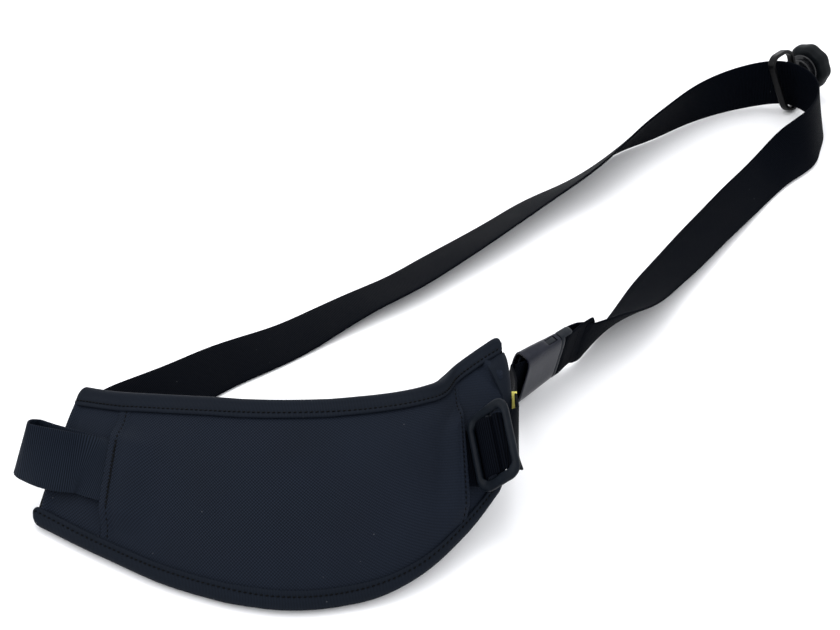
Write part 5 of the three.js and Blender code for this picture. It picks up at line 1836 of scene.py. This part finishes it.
def tape_row(name, upper, start, end):
    """Stitches along a tape, from s = start to end."""
    long = pad_length(end) - pad_length(start)
    s = s_at(pad_length(start) + np.arange(2.2 * MM, long - 2 * MM, STITCH_PITCH))
    share = (tape_width(upper) - TAPE_ROW) / pad_height(s)
    v = 1 - share if upper else share
    top = panel_base(s, v) + CLOTH + TAPE_CLEAR + TAPE_THICK
    along, _, out = pad_directions(s, v)
    points = pad_point(s, v, top - TAPE_SUNK)
    stitches(name, points, turn_in_cloth(along, out, TAPE_SLANT), out, TAPE_STITCH)


def fold_row(name, seam, inside, low=0.1, high=0.9):
    """Stitches up a fold of the middle panel, at a distance inside it, between two v."""
    s_row = float(s_at(pad_length(seam) + inside))
    height = float(pad_height(s_row))
    v = np.arange(low * height, high * height, STITCH_PITCH) / height
    s = np.full_like(v, s_row)
    top = middle_base(s, v) + CLOTH + middle_groove(s, v)
    _, up, out = pad_directions(s, v)
    points = pad_point(s, v, top + FOLD_PROUD)
    stitches(name, points, turn_in_cloth(up, out, FOLD_SLANT), out, FOLD_STITCH)


tape_row("thread_tape_top", True, -0.06, 7.1)
tape_row("thread_tape_bottom", False, -0.16, 6.98)
fold_row("thread_fold_left", SEAM_LEFT, LEFT_ROW)
fold_row("thread_fold_right", SEAM_RIGHT, -RIGHT_ROW)

# %% [markdown]
# Where the grab loop pulls, the left fold is closed by a bar tack: a dense zigzag as long as the
# webbing is wide. The strap's flap is held by a box of stitches, sewn through both layers.

# %% Bar tack over the grab webbing
TACK_HALF, TACK_PITCH, TACK_INSIDE = 20 * MM, 1.1 * MM, 5.2 * MM
TACK_STITCH, TACK_RISE = (3.2, 0.6, 0.6), 0.42  # rise is a zigzag's step up for each step across
tack_height = float(pad_height(SEAM_LEFT))
tack_reach = TACK_HALF / tack_height
tack_v = np.arange(GRAB_FRONT_V - tack_reach, GRAB_FRONT_V + tack_reach, TACK_PITCH / tack_height)
tack_swing = np.where(np.arange(len(tack_v)) % 2 == 0, 1.0, -1.0)
tack_s = np.full_like(tack_v, s_at(pad_length(SEAM_LEFT) + TACK_INSIDE))
tack_along, tack_up, tack_out = pad_directions(tack_s, tack_v)
tack_top = middle_base(tack_s, tack_v) + CLOTH + middle_groove(tack_s, tack_v)
tack_points = pad_point(tack_s, tack_v, tack_top + 0.1 * MM)
tack_way = unit(tack_along + TACK_RISE * tack_up * tack_swing[:, None])
stitches("thread_bar_tack", tack_points, tack_way, tack_out, TACK_STITCH)

# %% Box stitch on the strap's flap
FLAP_FREE, BOX_LONG, BOX_HALF = 4.0 * MM, 13 * MM, 15.5 * MM
BOX_PITCH, BOX_STITCH, BOX_SUNK = 2.4 * MM, (2.1, 0.55, 0.5), 0.08 * MM
box_high = strap_run.length - FLAP_FREE
box_low = box_high - BOX_LONG
long_marks = np.arange(box_low, box_high, BOX_PITCH)
side_marks = np.arange(-BOX_HALF, BOX_HALF + MM, BOX_PITCH)
places, ways = [], []
for side in (-BOX_HALF, BOX_HALF):
    places += [(mark, side) for mark in long_marks]
    ways += [(1.0, 0.0)] * len(long_marks)
for mark in (box_low, box_high):
    places += [(mark, side) for side in side_marks]
    ways += [(0.0, 1.0)] * len(side_marks)
places, ways = np.array(places), np.array(ways)
row_at = np.clip(np.searchsorted(strap_run.stops, places[:, 0]), 0, len(strap_run.stops) - 1)
seen_side = np.sign(strap_run.normal[-1] @ BUCKLE.z)
box_out = strap_run.normal[row_at] * seen_side
box_way = strap_run.along[row_at] * ways[:, :1] + strap_run.width[row_at] * ways[:, 1:]
box_height = np.full(len(places), seen_side * (WEB_THICK / 2 - BOX_SUNK))
box_points = strap_run.point(places[:, 0], places[:, 1], box_height)
stitches("thread_flap_box", box_points, box_way, box_out, BOX_STITCH)
